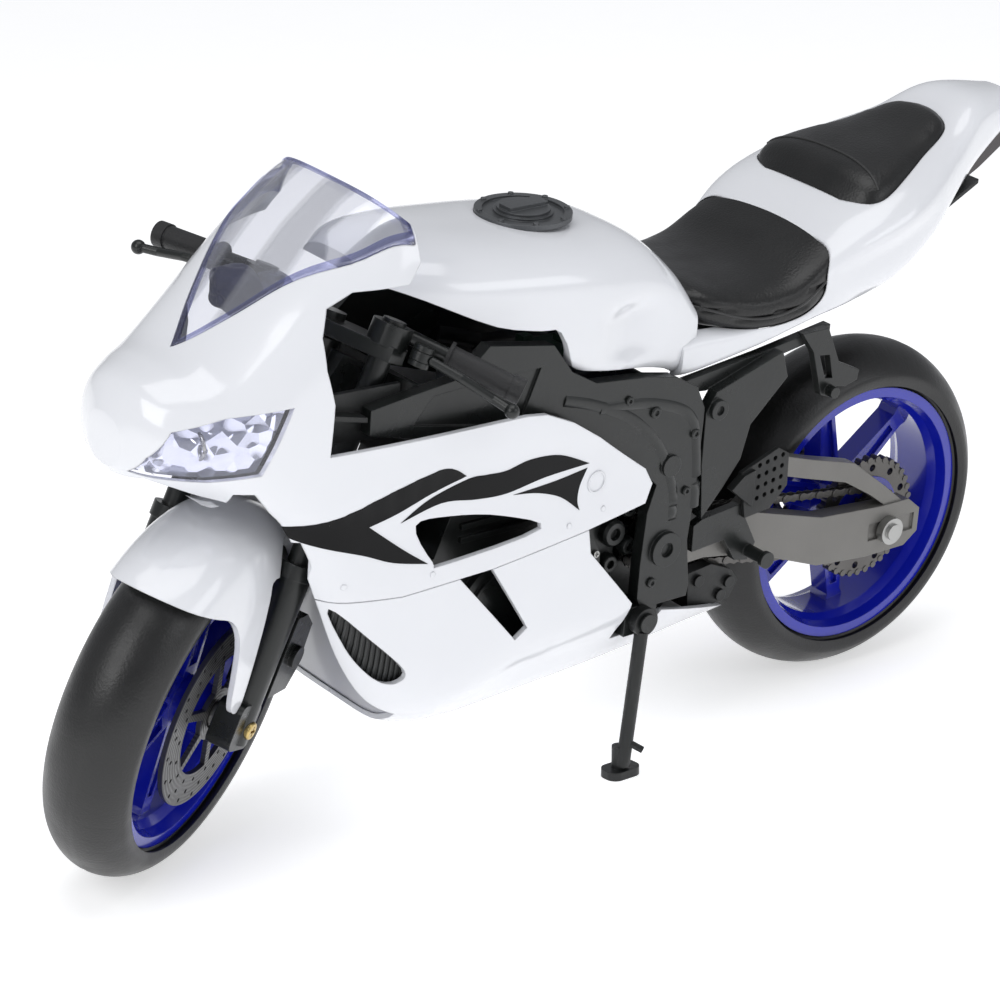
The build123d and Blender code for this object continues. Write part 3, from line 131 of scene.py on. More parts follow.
TANK_EDGE = [(80, 164), (70, 161), (60, 157.5), (40, 148.4), (26, 145), (19, 143.3), (12, 131.4),
             (4, 128.6), (-15, 125.3), (-25, 122.3), (-29.5, 119.5), (-36, 116.5), (-45, 116.5),
             (-45, 190), (80, 190)]
# Each decal is a chain of smooth runs that meet in sharp corners.
DECALS = [
    [[(110.6, 106.1), (92.9, 107.0), (78, 110.8), (67.6, 113.2), (60, 114.4), (56.5, 113.9)],
     [(56.5, 113.9), (54, 112.6), (51, 110.4)],
     [(51, 110.4), (62, 108.0), (73, 104.6), (82, 102.6)],
     [(82, 102.6), (78, 99.4), (70, 93.2), (62.6, 88.0)],
     [(62.6, 88.0), (74, 90.8), (84.2, 95.1), (100.4, 100.9), (110.6, 106.1)]],
    [[(72, 101.6), (63, 106.4), (50.5, 109.4), (44, 109.2), (37.4, 108.9), (29.1, 110.3),
      (18.6, 109.2), (7.7, 104.3)],
     [(7.7, 104.3), (23.3, 103.9), (36.8, 102.2), (47, 102.8), (58.9, 104.4), (72, 101.6)]],
    [[(34.4, 101.2), (20, 101.9), (8.3, 103.1)],
     [(8.3, 103.1), (10.6, 98.5), (11.2, 94.2), (10.3, 91.1)],
     [(10.3, 91.1), (17.5, 96.6), (26, 99.8), (34.4, 101.2)]],
]
BOSS = (4.5, 98.0)
BOSS_RADII = (3.3, 2.7)
TRIM_SCREW_RADIUS = 0.85
TRIM_SCREWS = [(89, 87), (61, 84.6), (14, 87.5), (1.5, 89.5)]


# ================================================================ materials
class Nodes:
    """Small helper that adds nodes to one material and links them."""

    def __init__(self, name):
        self.material = bpy.data.materials.new(name)
        self.material.use_nodes = True
        self.tree = self.material.node_tree
        self.tree.nodes.clear()
        self.output = self.tree.nodes.new("ShaderNodeOutputMaterial")

    def add(self, kind, **values):
        node = self.tree.nodes.new("ShaderNode" + kind)
        for key, value in values.items():
            if key in node.inputs:
                node.inputs[key].default_value = value
            else:
                setattr(node, key, value)
        return node

    def link(self, source, target):
        self.tree.links.new(source, target)

    def noise(self, vector, scale, detail=4.0):
        texture = self.add("TexNoise", Scale=scale, Detail=detail)
        self.link(vector, texture.inputs["Vector"])
        return texture.outputs["Fac"]

    def ranged(self, source, low, high, start=0.3, end=0.7):
        node = self.add("MapRange")
        for key, value in (("From Min", start), ("From Max", end), ("To Min", low),
                           ("To Max", high)):
            node.inputs[key].default_value = value
        self.link(source, node.inputs["Value"])
        return node.outputs["Result"]

    def mix_colour(self, factor, a, b):
        node = self.add("Mix", data_type="RGBA")
        self.link(factor, node.inputs["Factor"])
        for socket, value in ((node.inputs[6], a), (node.inputs[7], b)):
            if isinstance(value, tuple):
                socket.default_value = (*value, 1.0)
            else:
                self.link(value, socket)
        return node.outputs[2]


def shaded(colour, amount):
    return tuple(min(1.0, c * amount) for c in colour)


def surface(name, colour, rough, metallic=0.0, coat=0.0, grain=(900.0, 0.15), mottle=0.06,
            wear=0.0, edge=0.0003, rings=None, specular=0.5, glow=0.0):
    """Solid finish: mottled colour, uneven roughness, fine bump, softened and worn edges."""
    n = Nodes(name)
    vector = n.add("TexCoord").outputs["Object"]
    tone = n.ranged(n.noise(vector, 28.0), 0.0, 1.0)
    base = n.mix_colour(tone, shaded(colour, 1 - mottle), shaded(colour, 1 + mottle))
    rounded = n.add("Bevel", samples=4, Radius=edge)
    if wear:
        geometry = n.add("NewGeometry")
        corner = n.add("VectorMath", operation="DOT_PRODUCT")
        n.link(rounded.outputs["Normal"], corner.inputs[0])
        n.link(geometry.outputs["Normal"], corner.inputs[1])
        exposed = n.ranged(corner.outputs["Value"], wear, 0.0, 0.80, 0.99)
        scratched = n.add("Math", operation="MULTIPLY")
        n.link(exposed, scratched.inputs[0])
        n.link(n.ranged(n.noise(vector, 260.0), 0.2, 1.0), scratched.inputs[1])
        base = n.mix_colour(scratched.outputs[0], base, shaded(colour, 3.0))
    bsdf = n.add("BsdfPrincipled", Metallic=metallic)
    bsdf.inputs["Coat Weight"].default_value = coat
    bsdf.inputs["Coat Roughness"].default_value = 0.06
    bsdf.inputs["Specular IOR Level"].default_value = specular
    bsdf.inputs["Emission Color"].default_value = (*colour, 1.0)
    bsdf.inputs["Emission Strength"].default_value = glow
    n.link(base, bsdf.inputs["Base Color"])
    smear = n.ranged(n.noise(vector, 75.0, 6.0), rough * 0.8, min(1.0, rough * 1.25))
    n.link(smear, bsdf.inputs["Roughness"])
    height = n.noise(vector, grain[0], 5.0)
    if rings:
        centre, turn = rings
        local = n.add("Mapping", vector_type="TEXTURE", Location=centre, Rotation=turn)
        n.link(vector, local.inputs["Vector"])
        circles = n.add("TexWave", wave_type="RINGS", rings_direction="Y", Scale=260.0,
                        Distortion=1.5)
        n.link(local.outputs["Vector"], circles.inputs["Vector"])
        height = circles.outputs["Fac"]
    bump = n.add("Bump", Strength=grain[1], Distance=0.0004)
    n.link(height, bump.inputs["Height"])
    n.link(rounded.outputs["Normal"], bump.inputs["Normal"])
    n.link(bump.outputs["Normal"], bsdf.inputs["Normal"])
    n.link(bsdf.outputs["BSDF"], n.output.inputs["Surface"])
    return n.material


def leather(name, colour, rough):
    """Padded cover: pebbled grain over broad soft unevenness."""
    material = surface(name, colour, rough, grain=(900.0, 0.3), mottle=0.12, edge=0.0006)
    tree = material.node_tree
    cells = tree.nodes.new("ShaderNodeTexVoronoi")
    cells.inputs["Scale"].default_value = 1400.0
    bump = next(node for node in tree.nodes if node.type == "BUMP")
    coords = next(node for node in tree.nodes if node.type == "TEX_COORD")
    tree.links.new(coords.outputs["Object"], cells.inputs["Vector"])
    tree.links.new(cells.outputs["Distance"], bump.inputs["Height"])
    bump.inputs["Strength"].default_value = 0.16
    return material


def clear_plastic(name, tint, gloss, haze, veil, painted_reflection_streaks=0.0):
    """Thin clear moulding: see-through, mirror-like at grazing angles, with painted reflection
    stripes where the mirror weight is raised.
    """
    n = Nodes(name)
    vector = n.add("TexCoord").outputs["Object"]
    through = n.add("BsdfTransparent")
    n.link(n.mix_colour(n.noise(vector, 20.0), tint, shaded(tint, 1.03)), through.inputs["Color"])
    mirror = n.add("BsdfGlossy")
    mirror.inputs["Color"].default_value = (*shaded(tint, 0.9), 1.0)
    n.link(n.ranged(n.noise(vector, 60.0), haze * 0.6, haze * 1.5), mirror.inputs["Roughness"])
    bump = n.add("Bump", Strength=0.05, Distance=0.0004)
    n.link(n.noise(vector, 45.0), bump.inputs["Height"])
    n.link(bump.outputs["Normal"], mirror.inputs["Normal"])
    facing = n.add("LayerWeight", Blend=0.5)
    n.link(bump.outputs["Normal"], facing.inputs["Normal"])
    steep = n.add("Math", operation="POWER")
    n.link(facing.outputs["Facing"], steep.inputs[0])
    steep.inputs[1].default_value = 4.0
    amount = n.add("Math", operation="MULTIPLY_ADD", use_clamp=True)
    n.link(steep.outputs[0], amount.inputs[0])
    amount.inputs[1].default_value = gloss
    amount.inputs[2].default_value = veil
    reflected = amount.outputs[0]
    # Painted reflection: wave stripes across the pane raise the mirror weight, standing in for
    # softbox reflections.
    if painted_reflection_streaks:
        reflection_bands = n.add("TexWave", bands_direction="Y", Scale=14.0, Distortion=1.2)
        n.link(vector, reflection_bands.inputs["Vector"])
        broad = n.ranged(reflection_bands.outputs["Fac"], 0.0, painted_reflection_streaks, 0.45, 0.60)
        total = n.add("Math", operation="ADD", use_clamp=True)
        n.link(reflected, total.inputs[0])
        n.link(broad, total.inputs[1])
        reflected = total.outputs[0]
    mix = n.add("MixShader")
    n.link(reflected, mix.inputs[0])
    n.link(through.outputs[0], mix.inputs[1])
    n.link(mirror.outputs[0], mix.inputs[2])
    n.link(mix.outputs[0], n.output.inputs["Surface"])
    return n.material


def faceted_chrome(name, tint):
    """Bluish mirror broken into pillow facets, for the lamp bowls."""
    n = Nodes(name)
    vector = n.add("TexCoord").outputs["Object"]
    cells = n.add("TexVoronoi", Scale=230.0)
    n.link(vector, cells.inputs["Vector"])
    bump = n.add("Bump", Strength=0.9, Distance=0.0016)
    n.link(cells.outputs["Distance"], bump.inputs["Height"])
    bsdf = n.add("BsdfPrincipled", Metallic=1.0)
    shade = n.mix_colour(cells.outputs["Color"], shaded(tint, 0.72), tint)
    n.link(shade, bsdf.inputs["Base Color"])
    n.link(n.ranged(n.noise(vector, 120.0), 0.05, 0.16), bsdf.inputs["Roughness"])
    n.link(bump.outputs["Normal"], bsdf.inputs["Normal"])
    n.link(bsdf.outputs["BSDF"], n.output.inputs["Surface"])
    return n.material


def ring_frame(matrix, centre):
    """Location and rotation that put a texture's Y axis on a wheel's axle."""
    placed = matrix @ Matrix.Translation(centre)
    return tuple(placed.to_translation()), tuple(placed.to_euler())


REAR_RINGS = ring_frame(BIKE, (REAR_AXLE[0], 0, REAR_AXLE[1]))
FRONT_RINGS = ring_frame(FORK, (LEG_X, 0, 0))

WHITE = surface("gloss_white", (0.80, 0.81, 0.84), 0.16, coat=0.6, grain=(160.0, 0.012),
                mottle=0.012, edge=0.0005)
BLUE = surface("gloss_blue", (0.006, 0.013, 0.40), 0.20, coat=0.5,
               grain=(220.0, 0.02), mottle=0.08, edge=0.0004)
SATIN = surface("satin_black", (0.0085, 0.010, 0.0095), 0.30, grain=(700.0, 0.10), mottle=0.15,
                wear=0.25, edge=0.0004)
MATT = surface("matt_black", (0.006, 0.007, 0.007), 0.46, grain=(900.0, 0.20), mottle=0.2,
               wear=0.15)
DECAL = surface("decal_black", (0.004, 0.004, 0.0045), 0.35, grain=(600.0, 0.02), mottle=0.2,
                edge=0.0001, specular=0.15)
RUBBER = surface("tyre_rubber", (0.009, 0.009, 0.009), 0.36, grain=(1500.0, 0.22), mottle=0.25,
                 edge=0.0003)
GRIP = surface("grip_rubber", (0.016, 0.016, 0.017), 0.55, grain=(1800.0, 0.3), mottle=0.2)
ARM_GREY = surface("warm_grey", (0.175, 0.17, 0.16), 0.38, metallic=0.45, grain=(1300.0, 0.12),
                   mottle=0.06, wear=0.2, edge=0.0005)
CAP_GREY = surface("cap_grey", (0.12, 0.125, 0.13), 0.34, metallic=0.7, grain=(1300.0, 0.12),
                   mottle=0.08, wear=0.25, edge=0.0003)
DISC_REAR = surface("disc_rear", (0.085, 0.085, 0.085), 0.36, metallic=0.7, grain=(900.0, 0.35),
                    mottle=0.1, rings=REAR_RINGS, edge=0.0002)
DISC_FRONT = surface("disc_front", (0.085, 0.085, 0.085), 0.36, metallic=0.7, grain=(900.0, 0.35),
                     mottle=0.1, rings=FRONT_RINGS, edge=0.0002)
STEEL = surface("steel", (0.42, 0.42, 0.41), 0.30, metallic=0.95, grain=(1200.0, 0.15),
                mottle=0.08, edge=0.0002)
CHAIN_STEEL = surface("chain_steel", (0.13, 0.125, 0.12), 0.38, metallic=0.85,
                      grain=(1200.0, 0.2), mottle=0.15, edge=0.0001)
BRASS = surface("brass", (0.56, 0.42, 0.17), 0.30, metallic=0.95, grain=(1200.0, 0.15),
                mottle=0.08, edge=0.0002)
SEAT = leather("seat_cover", (0.007, 0.007, 0.007), 0.36)
PIPING = surface("seat_piping", (0.030, 0.030, 0.030), 0.40, grain=(1500.0, 0.2), mottle=0.2)
LAMP_DARK = surface("dark_lamp", (0.020, 0.012, 0.014), 0.22, coat=0.5, grain=(420.0, 0.1),
                    mottle=0.2)
BOARD = surface("board_green", (0.006, 0.03, 0.014), 0.4, grain=(900.0, 0.2))
BATTERY = surface("battery_wrap", (0.012, 0.014, 0.020), 0.3, grain=(300.0, 0.1))
DASH = surface("dash_blue", (0.015, 0.018, 0.075), 0.40, grain=(420.0, 0.5), mottle=0.3)
SEAM = surface("seam_grey", (0.18, 0.18, 0.20), 0.5, grain=(900.0, 0.1))
# The clear screen carries painted reflection stripes.
SCREEN = clear_plastic("clear_screen", (0.90, 0.905, 0.935), 0.6, 0.05, 0.10, painted_reflection_streaks=0.30)
SCREEN_EDGE = clear_plastic("screen_edge", (0.66, 0.67, 0.82), 0.6, 0.12, 0.18)
HUMP = clear_plastic("tinted_hump", (0.74, 0.75, 0.88), 0.5, 0.2, 0.25)
LENS = clear_plastic("lamp_lens", (0.96, 0.96, 1.0), 0.6, 0.03, 0.05)
CHROME = faceted_chrome("lamp_chrome", (0.86, 0.88, 0.98))


# ================================================================ mesh helpers
def mesh_object(name, points, faces, matrix=None):
    mesh = bpy.data.meshes.new(name)
    mesh.from_pydata([tuple(p) for p in points], [], faces)
    if matrix is not None:
        mesh.transform(matrix)
    mesh.validate()
    obj = bpy.data.objects.new(name, mesh)
    bpy.context.scene.collection.objects.link(obj)
    return obj


def tidy_normals(obj):
    bm = bmesh.new()
    bm.from_mesh(obj.data)
    bmesh.ops.recalc_face_normals(bm, faces=bm.faces)
    bm.to_mesh(obj.data)
    bm.free()
    return obj


def smooth(obj, angle=32.0):
    for polygon in obj.data.polygons:
        polygon.use_smooth = True
    obj.data.set_sharp_from_angle(angle=math.radians(angle))


def grid(name, rows, closed=True):
    """Skin over rows of equally many points; closed rows get end caps."""
    count = len(rows[0])
    points = [p for row in rows for p in row]
    faces = []
    for i in range(len(rows) - 1):
        for j in range(count if closed else count - 1):
            k = (j + 1) % count
            faces.append((i * count + j, i * count + k, (i + 1) * count + k, (i + 1) * count + j))
    if closed:
        faces.append(tuple(range(count)))
        faces.append(tuple(reversed(range((len(rows) - 1) * count, len(rows) * count))))
    return tidy_normals(mesh_object(name, points, faces))


def full_turn(count):
    """Angles of one turn in equal steps."""
    return [2 * math.pi * k / count for k in range(count)]


def disc_outline(centre, radius, count=32):
    return [(centre[0] + radius * math.cos(a), centre[1] + radius * math.sin(a))
            for a in full_turn(count)]


def prism(outline, low, high, axis="Y"):
    """Straight-sided cutter with an outline in x, z (axis Y) or x, y (axis Z)."""
    if axis == "Y":
        rows = [[(x, level, z) for x, z in outline] for level in (low, high)]
    else:
        rows = [[(x, y, level) for x, y in outline] for level in (low, high)]
    return grid("cutter", rows)


def box_cutter(x0, x1, y0, y1, z0, z1):
    return prism([(x0, z0), (x1, z0), (x1, z1), (x0, z1)], y0, y1)


def boolean(obj, operation, other):
    """Applies one boolean and drops the cutter."""
    modifier = obj.modifiers.new("boolean", "BOOLEAN")
    modifier.operation = operation
    modifier.object = other
    modifier.solver = "MANIFOLD"
    graph = bpy.context.evaluated_depsgraph_get()
    mesh = bpy.data.meshes.new_from_object(obj.evaluated_get(graph))
    obj.modifiers.clear()
    obj.data = mesh
    bpy.data.objects.remove(other)
    return obj


def keep(obj, other):
    return boolean(obj, "INTERSECT", other)


def cut(obj, other):
    return boolean(obj, "DIFFERENCE", other)


def join(obj, other):
    return boolean(obj, "UNION", other)


def eased(t):
    t = max(0.0, min(1.0, t))
    return t * t * (3 - 2 * t)


def curve_height(line, x):
    """Height of a broken line (x, z), x falling, at x."""
    if x >= line[0][0]:
        return line[0][1]
    for (x0, z0), (x1, z1) in zip(line, line[1:]):
        if x >= x1:
            return z0 + (z1 - z0) * (x0 - x) / (x0 - x1)
    return line[-1][1]


def spline_points(points, steps, closed=False):
    """Catmull-Rom curve through points of any dimension."""
    count = len(points)
    result = []
    for i in range(count if closed else count - 1):
        if closed:
            o, p, q, r = (points[(i + k) % count] for k in (-1, 0, 1, 2))
        else:
            o, p, q, r = (points[max(0, min(count - 1, i + k))] for k in (-1, 0, 1, 2))
        for j in range(steps):
            t = j / steps
            result.append(tuple(
                (2 * b + (c - a) * t + (2 * a - 5 * b + 4 * c - d) * t ** 2
                 + (3 * b - a - 3 * c + d) * t ** 3) / 2 for a, b, c, d in zip(o, p, q, r)))
    return result if closed else result + [tuple(points[-1])]


def section(station, inset, around):
    """One closed ring of a loft: half superellipses above and below the widest point."""
    x, low, high, half_width, widest, upper, lower = station
    ring = []
    for i in range(around):
        a = 2 * math.pi * (i + 0.5) / around
        c = math.cos(a)
        s = math.sin(a)
        power = 2 / (upper if s > 0 else lower)
        size = (abs(c) ** power + abs(s) ** power) ** (-1 / power)
        reach = high - widest - inset if s > 0 else widest - low - inset
        ring.append((x, (half_width - inset) * c * size, widest + reach * s * size))
    return ring


def loft(name, stations, inset=0.0, steps=8, around=112, shape=None):
    """Smooth closed body through the stations; shape(x, y, z) may move each point."""
    rows = [section(s, inset, around) for s in spline_points(stations, steps)]
    if shape:
        rows = [[shape(*p) for p in row] for row in rows]
    return grid(name, rows)


def moulding(name, stations, shape=None, closed_end=None, outer=0.0, inner=SKIN):
    """Hollow skin between two insets of the same loft."""
    body = loft(name, stations, outer, shape=shape)
    hollow = loft("hollow", stations, inner, shape=shape)
    if closed_end is not None:
        cut(hollow, box_cutter(closed_end - SKIN, closed_end + SKIN, -90, 90, 0, 230))
    else:
        cut(body, box_cutter(stations[0][0] - 0.4, stations[0][0] + 1, -90, 90, 0, 230))
        cut(body, box_cutter(stations[-1][0] - 1, stations[-1][0] + 0.4, -90, 90, 0, 230))
    return cut(body, hollow)


def lathe(name, profile, turns, matrix, ripple=None):
    """Ring turned about Y from a closed profile (radius, y); ripple(angle, r, y) gives dr."""
    rows = []
    for i in range(turns):
        a = 2 * math.pi * i / turns
        row = []
        for r, y in profile:
            reach = r + (ripple(a, r, y) if ripple else 0.0)
            row.append((reach * math.cos(a), y, reach * math.sin(a)))
        rows.append(row)
    count = len(profile)
    points = [p for row in rows for p in row]
    faces = []
    for i in range(turns):
        n = (i + 1) % turns
        for j in range(count):
            k = (j + 1) % count
            faces.append((i * count + j, i * count + k, n * count + k, n * count + j))
    obj = tidy_normals(mesh_object(name, points, faces))
    obj.data.transform(matrix)
    return obj


def tube(name, path, radius, closed=False, sides=10):
    """Round bead swept along a path."""
    count = len(path)
    rows = []
    for i, p in enumerate(path):
        before = Vector(path[(i - 1) % count] if closed else path[max(0, i - 1)])
        after = Vector(path[(i + 1) % count] if closed else path[min(count - 1, i + 1)])
        along = (after - before).normalized()
        side = along.cross(Vector((0, 0, 1)))
        if side.length < 0.05:
            side = along.cross(Vector((0, 1, 0)))
        side.normalize()
        up = side.cross(along)
        rows.append([tuple(Vector(p) + radius * (math.cos(a) * side + math.sin(a) * up))
                     for a in full_turn(sides)])
    if closed:
        rows.append(rows[0])
    return grid(name, rows)


def paint(obj, material):
    obj.data.materials.clear()
    obj.data.materials.append(material)


def finish_piece(obj, material, slot, replaced=(), body="chassis", matrix=BIKE, angle=32.0):
    """Sets a finished mesh down in the shared frame and hands it to its body."""
    if matrix is not None:
        obj.data.transform(matrix)
    smooth(obj, angle)
    paint(obj, material)
    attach(obj, body)
    if replaced:
        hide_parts(*replaced)
    return obj


# ================================================================ fairing
NOSE_CREASE = [(132, 119), (118, 113), (100, 108.6), (80, 109.5), (55, 115), (30, 116), (5, 111.5)]
BELLY_CREASE = [(98, 62), (76, 50), (55, 42), (25, 53), (-15, 55.5), (-60, 47)]


def fairing_shape(x, y, z):
    """Soft step below the nose line and an undercut below the belly line."""
    edge = curve_height(NOSE_CREASE, x)
    back = eased((135 - x) / 25)
    y *= 1 - 0.022 * back * eased((edge - z) / 3.0) * eased((z - 84) / 12)
    belly = curve_height(BELLY_CREASE, x)
    y *= 1 - 0.10 * eased((belly - z) / 12.0) * eased((98 - x) / 20)
    return x, y, z


def screen_plan(gap):
    tip = (SCREEN_PLAN[0][0] + 2 * gap, 0)
    half = [tip] + [(x + gap, y + gap) for x, y in SCREEN_PLAN[1:]]
    curve = spline_points(half, 5)
    rear = 68.8 - gap
    outline = curve + [(rear, half[-1][1]), (rear, -half[-1][1])]
    return outline + [(x, -y) for x, y in reversed(curve[1:])]


# Boxes x0, x1, y0, y1, z0, z1 kept free round the front wheel.
TURNING_ROOM = (66, 119.5, -29, 29, 10, 117)
SKIRT_ROOM = (97, 108, -30.4, 30.4, 85, 101)
TRAVEL_ROOM = (118, 124, -22, 22, 100, 109.8)


def wheel_room():
    """Space for the front wheel at full lock and for its mudguard at full fork travel."""
    room = join(box_cutter(*TURNING_ROOM), box_cutter(*SKIRT_ROOM))
    return join(room, box_cutter(*TRAVEL_ROOM))


def cut_both(obj, outline, inner):
    cut(obj, prism(outline, inner, 70))
    cut(obj, prism(outline, -70, -inner))
    return obj


def side_name(side):
    return "left" if side > 0 else "right"


def white_panel(obj, *replaced):
    finish_piece(obj, WHITE, "body_white", replaced)


def upper_cowl():
    """Nose and upper side panels in one shell."""
    shell = moulding("cowl_shell", FAIRING[:-1], fairing_shape, FAIRING[0][0])
    keep(shell, prism(COWL_OUTLINE, -70, 70))
    keep(shell, prism(SCREEN_TRIM, -70, 70))
    cut(shell, prism(screen_plan(0.3), 140, 200, "Z"))
    cut(shell, wheel_room())
    cut_both(shell, HEADLIGHT, 6)
    cut_both(shell, spline_points(INTAKE, 4, True), 6)
    white_panel(shell, "upper_cowl")


def lower_fairing(side):
    """One half of the belly, drawn on the left and mirrored for the right."""
    name = side_name(side)
    shell = moulding("belly_" + name, FAIRING[4:], fairing_shape)
    keep(shell, prism(LOWER_OUTLINE, 0.1, 70))
    cut(shell, prism(VENT, 6, 70))
    cut(shell, prism(spline_points(DUCT, 4, True), 14, 70))
    cut(shell, wheel_room())
    if side < 0:
        shell.data.transform(Matrix.Scale(-1, 4, (0, 1, 0)))
        shell.data.flip_normals()
    white_panel(shell, "lower_fairing_" + name)


def side_patch(name, outline, side, outer, inner, stations=FAIRING[:-1], near=10, far=70):
    """Thin sheet that follows the fairing's side inside an outline."""
    patch = moulding(name, stations, fairing_shape, outer=outer, inner=inner)
    keep(patch, prism(outline, *((near, far) if side > 0 else (-far, -near))))
    patch.name = name + "_" + side_name(side)
    return patch


BELLY_WALL = (64.4, 65.6, -40, 40, 30, 63)


def belly_wall():
    """Moulded wall that closes the belly behind the front wheel."""
    wall = loft("belly_wall", FAIRING[4:], SKIN + 0.1, shape=fairing_shape)
    keep(wall, box_cutter(*BELLY_WALL))
    white_panel(wall)


def decals():
    """Black swooshes on the side panels, a round boss behind them and small screw heads."""
    for side in (1, -1):
        for i, runs in enumerate(DECALS):
            outline = [p for run in runs for p in spline_points(run, 6)[:-1]]
            patch = side_patch(f"decal_{i}", outline, side, -0.12, 0.05)
            cut(patch, wheel_room())
            finish_piece(patch, DECAL, "frame_black")
        ring = side_patch("boss", disc_outline(BOSS, BOSS_RADII[0]), side, -0.35, 0.3)
        cut(ring, prism(disc_outline(BOSS, BOSS_RADII[1]), -60, 60))
        white_panel(ring)
        for i, spot in enumerate(TRIM_SCREWS):
            circle = disc_outline(spot, TRIM_SCREW_RADIUS, 16)
            white_panel(side_patch(f"trim_screw_{i}", circle, side, -0.3, 0.3))


DUCT_MIDDLE = (79.0, 66.0)
DUCT_SPREAD = 1.15
DUCT_RIBS = 22
DUCT_RIB_PITCH = 1.7
DUCT_RIB_WIDE = 0.6


def duct_comb():
    """Outline of a comb whose teeth are the upright ribs of the duct plates."""
    comb = []
    for k in range(DUCT_RIBS):
        x = 60 + DUCT_RIB_PITCH * k
        comb += [(x, 44), (x, 90), (x + DUCT_RIB_WIDE, 90), (x + DUCT_RIB_WIDE, 44)]
    return comb + [(98, 44), (98, 42), (60, 42)]


def duct_inserts():
    """Dark ribbed plates behind the side ducts, with a white backing."""
    x0, z0 = DUCT_MIDDLE
    wide = [(x0 + DUCT_SPREAD * (x - x0), z0 + DUCT_SPREAD * (z - z0))
            for x, z in spline_points(DUCT, 4, True)]
    layers = (("duct_plate", 0.7, 1.0, MATT, "frame_black", ["duct_inserts"]),
              ("duct_ribs", 0.3, 0.8, SATIN, "frame_black", []),
              ("duct_back", 1.05, 1.4, WHITE, "body_white", []))
    for name, outer, inner, material, slot, nodes in layers:
        for side in (1, -1):
            sheet = side_patch(name, wide, side, SKIN + outer, SKIN + inner)
            if name == "duct_ribs":
                keep(sheet, prism(duct_comb(), -70, 70))
            cut(sheet, wheel_room())
            finish_piece(sheet, material, slot, nodes)


def lump(name, centre, size, knobs, material, slot, nodes=()):
    """Rounded block with an uneven skin, for the parts seen through the screen."""
    rows = []
    for i in range(1, 24):
        a = math.pi * i / 24
        row = []
        for j in range(48):
            b = 2 * math.pi * j / 48
            direction = (math.cos(a), math.sin(a) * math.cos(b), math.sin(a) * math.sin(b))
            swell = 1 + knobs * math.sin(5 * a) * math.sin(4 * b + 2 * a)
            square = (sum(abs(c) ** 3.2 for c in direction)) ** (-1 / 3.2)
            row.append(tuple(c + r * d * square * swell
                             for c, r, d in zip(centre, size, direction)))
        rows.append(row)
    finish_piece(grid(name, rows), material, slot, nodes, angle=60)


def dash():
    """Grained lump and tinted hump behind the screen."""
    lump("dash_lump", (99, -5, 158), (5.5, 7, 6), 0.07, DASH, "dash_blue", ["instrument_panel"])
    lump("dash_hump", (92.5, 3, 156.5), (4.5, 6.5, 7.5), 0.02, HUMP, "screen_clear")


SCREEN_BAND = 0.8
SCREEN_LIP = 1.1


def screen_layer(name, gap, outer=0.0, inner=SKIN):
    layer = moulding(name, FAIRING[:-1], outer=outer, inner=inner)
    keep(layer, prism(screen_plan(gap), 140, 200, "Z"))
    return keep(layer, prism(SCREEN_TRIM, -70, 70))


def windscreen():
    """Clear pane with a tinted band along its sides and its rear edge."""
    pane = screen_layer("screen_pane", 0)
    finish_piece(pane, SCREEN, "screen_clear", ["windscreen"])
    band = screen_layer("screen_band", 0, -0.25, SKIN + 0.2)
    inside = [(x if x > 69 else 60, y) for x, y in screen_plan(-SCREEN_BAND)]
    cut(band, prism(inside, 139, 201, "Z"))
    finish_piece(band, SCREEN_EDGE, "screen_clear")
    rear = screen_layer("screen_lip", -0.1, -0.25, SKIN + 0.2)
    ahead = [(x + SCREEN_LIP, z) for x, z in SCREEN_TRIM[:3]]
    ahead += [(160, 192), (160, 18), (-28, 18), (-28, 172)]
    cut(rear, prism(ahead, -71, 71))
    finish_piece(rear, SCREEN_EDGE, "screen_clear")


BULB_CENTRE = (127, 20.5, 130)
BULB_RADIUS = 3.6


def headlights():
    """Clear lenses, faceted bowls behind them and a bulb ring in each."""
    opening = [(x * 0.99 + 1.2, z * 0.985 + 1.95) for x, z in HEADLIGHT]
    layers = (("lens", 0.05, 0.9, LENS, "lamp_clear", "headlight_lenses"),
              ("bowl", 3.0, 4.2, CHROME, "lamp_chrome", "headlight_reflectors"))
    for label, outer, inner, material, slot, node in layers:
        for side in (1, -1):
            pane = side_patch(label, opening, side, outer, inner, FAIRING[:8], 6.3, 60)
            finish_piece(pane, material, slot, [node])
    for side in (1, -1):
        x, y, z = BULB_CENTRE
        ring = [(x + 0.25 * math.cos(a), side * y + side * BULB_RADIUS * math.cos(a),
                 z + BULB_RADIUS * math.sin(a))
                for a in full_turn(36)]
        bead = tube("bulb_ring_" + side_name(side), ring, 0.5, closed=True)
        finish_piece(bead, STEEL, "lamp_chrome")


SEAM_LINE = [(97.0, 82.9), (92, 82.3), (85, 81.8), (70.6, 80.2), (54, 80.7), (40.5, 81.0),
             (6.4, 84.3)]
SEAM_ABOVE = 0.45
SEAM_BELOW = 0.35


def panel_seam():
    """Dark line in the gap between the upper panels and the belly."""
    band = [(x, z + SEAM_ABOVE) for x, z in SEAM_LINE]
    band += [(x, z - SEAM_BELOW) for x, z in reversed(SEAM_LINE)]
    for side in (1, -1):
        strip = side_patch("seam", band, side, 0.35, SKIN - 0.2)
        cut_both(strip, VENT, 5)
        cut(strip, wheel_room())
        finish_piece(strip, SEAM, "body_white")


# ================================================================ tank, tail, seats
def tank_shape(x, y, z):
    """Knee hollows in the flanks and a shoulder line above them."""
    hollow = eased((16 - abs(x + 8)) / 16) * eased((149 - z) / 8) * eased((z - 127) / 6)
    return x, y * (1 - 0.10 * hollow), z


TANK_SKIN = 2.0
CAP_SEAT = (9, 0)
CAP_SEAT_RADIUS = 13.5
CAP_SEAT_FLOOR = 164.85


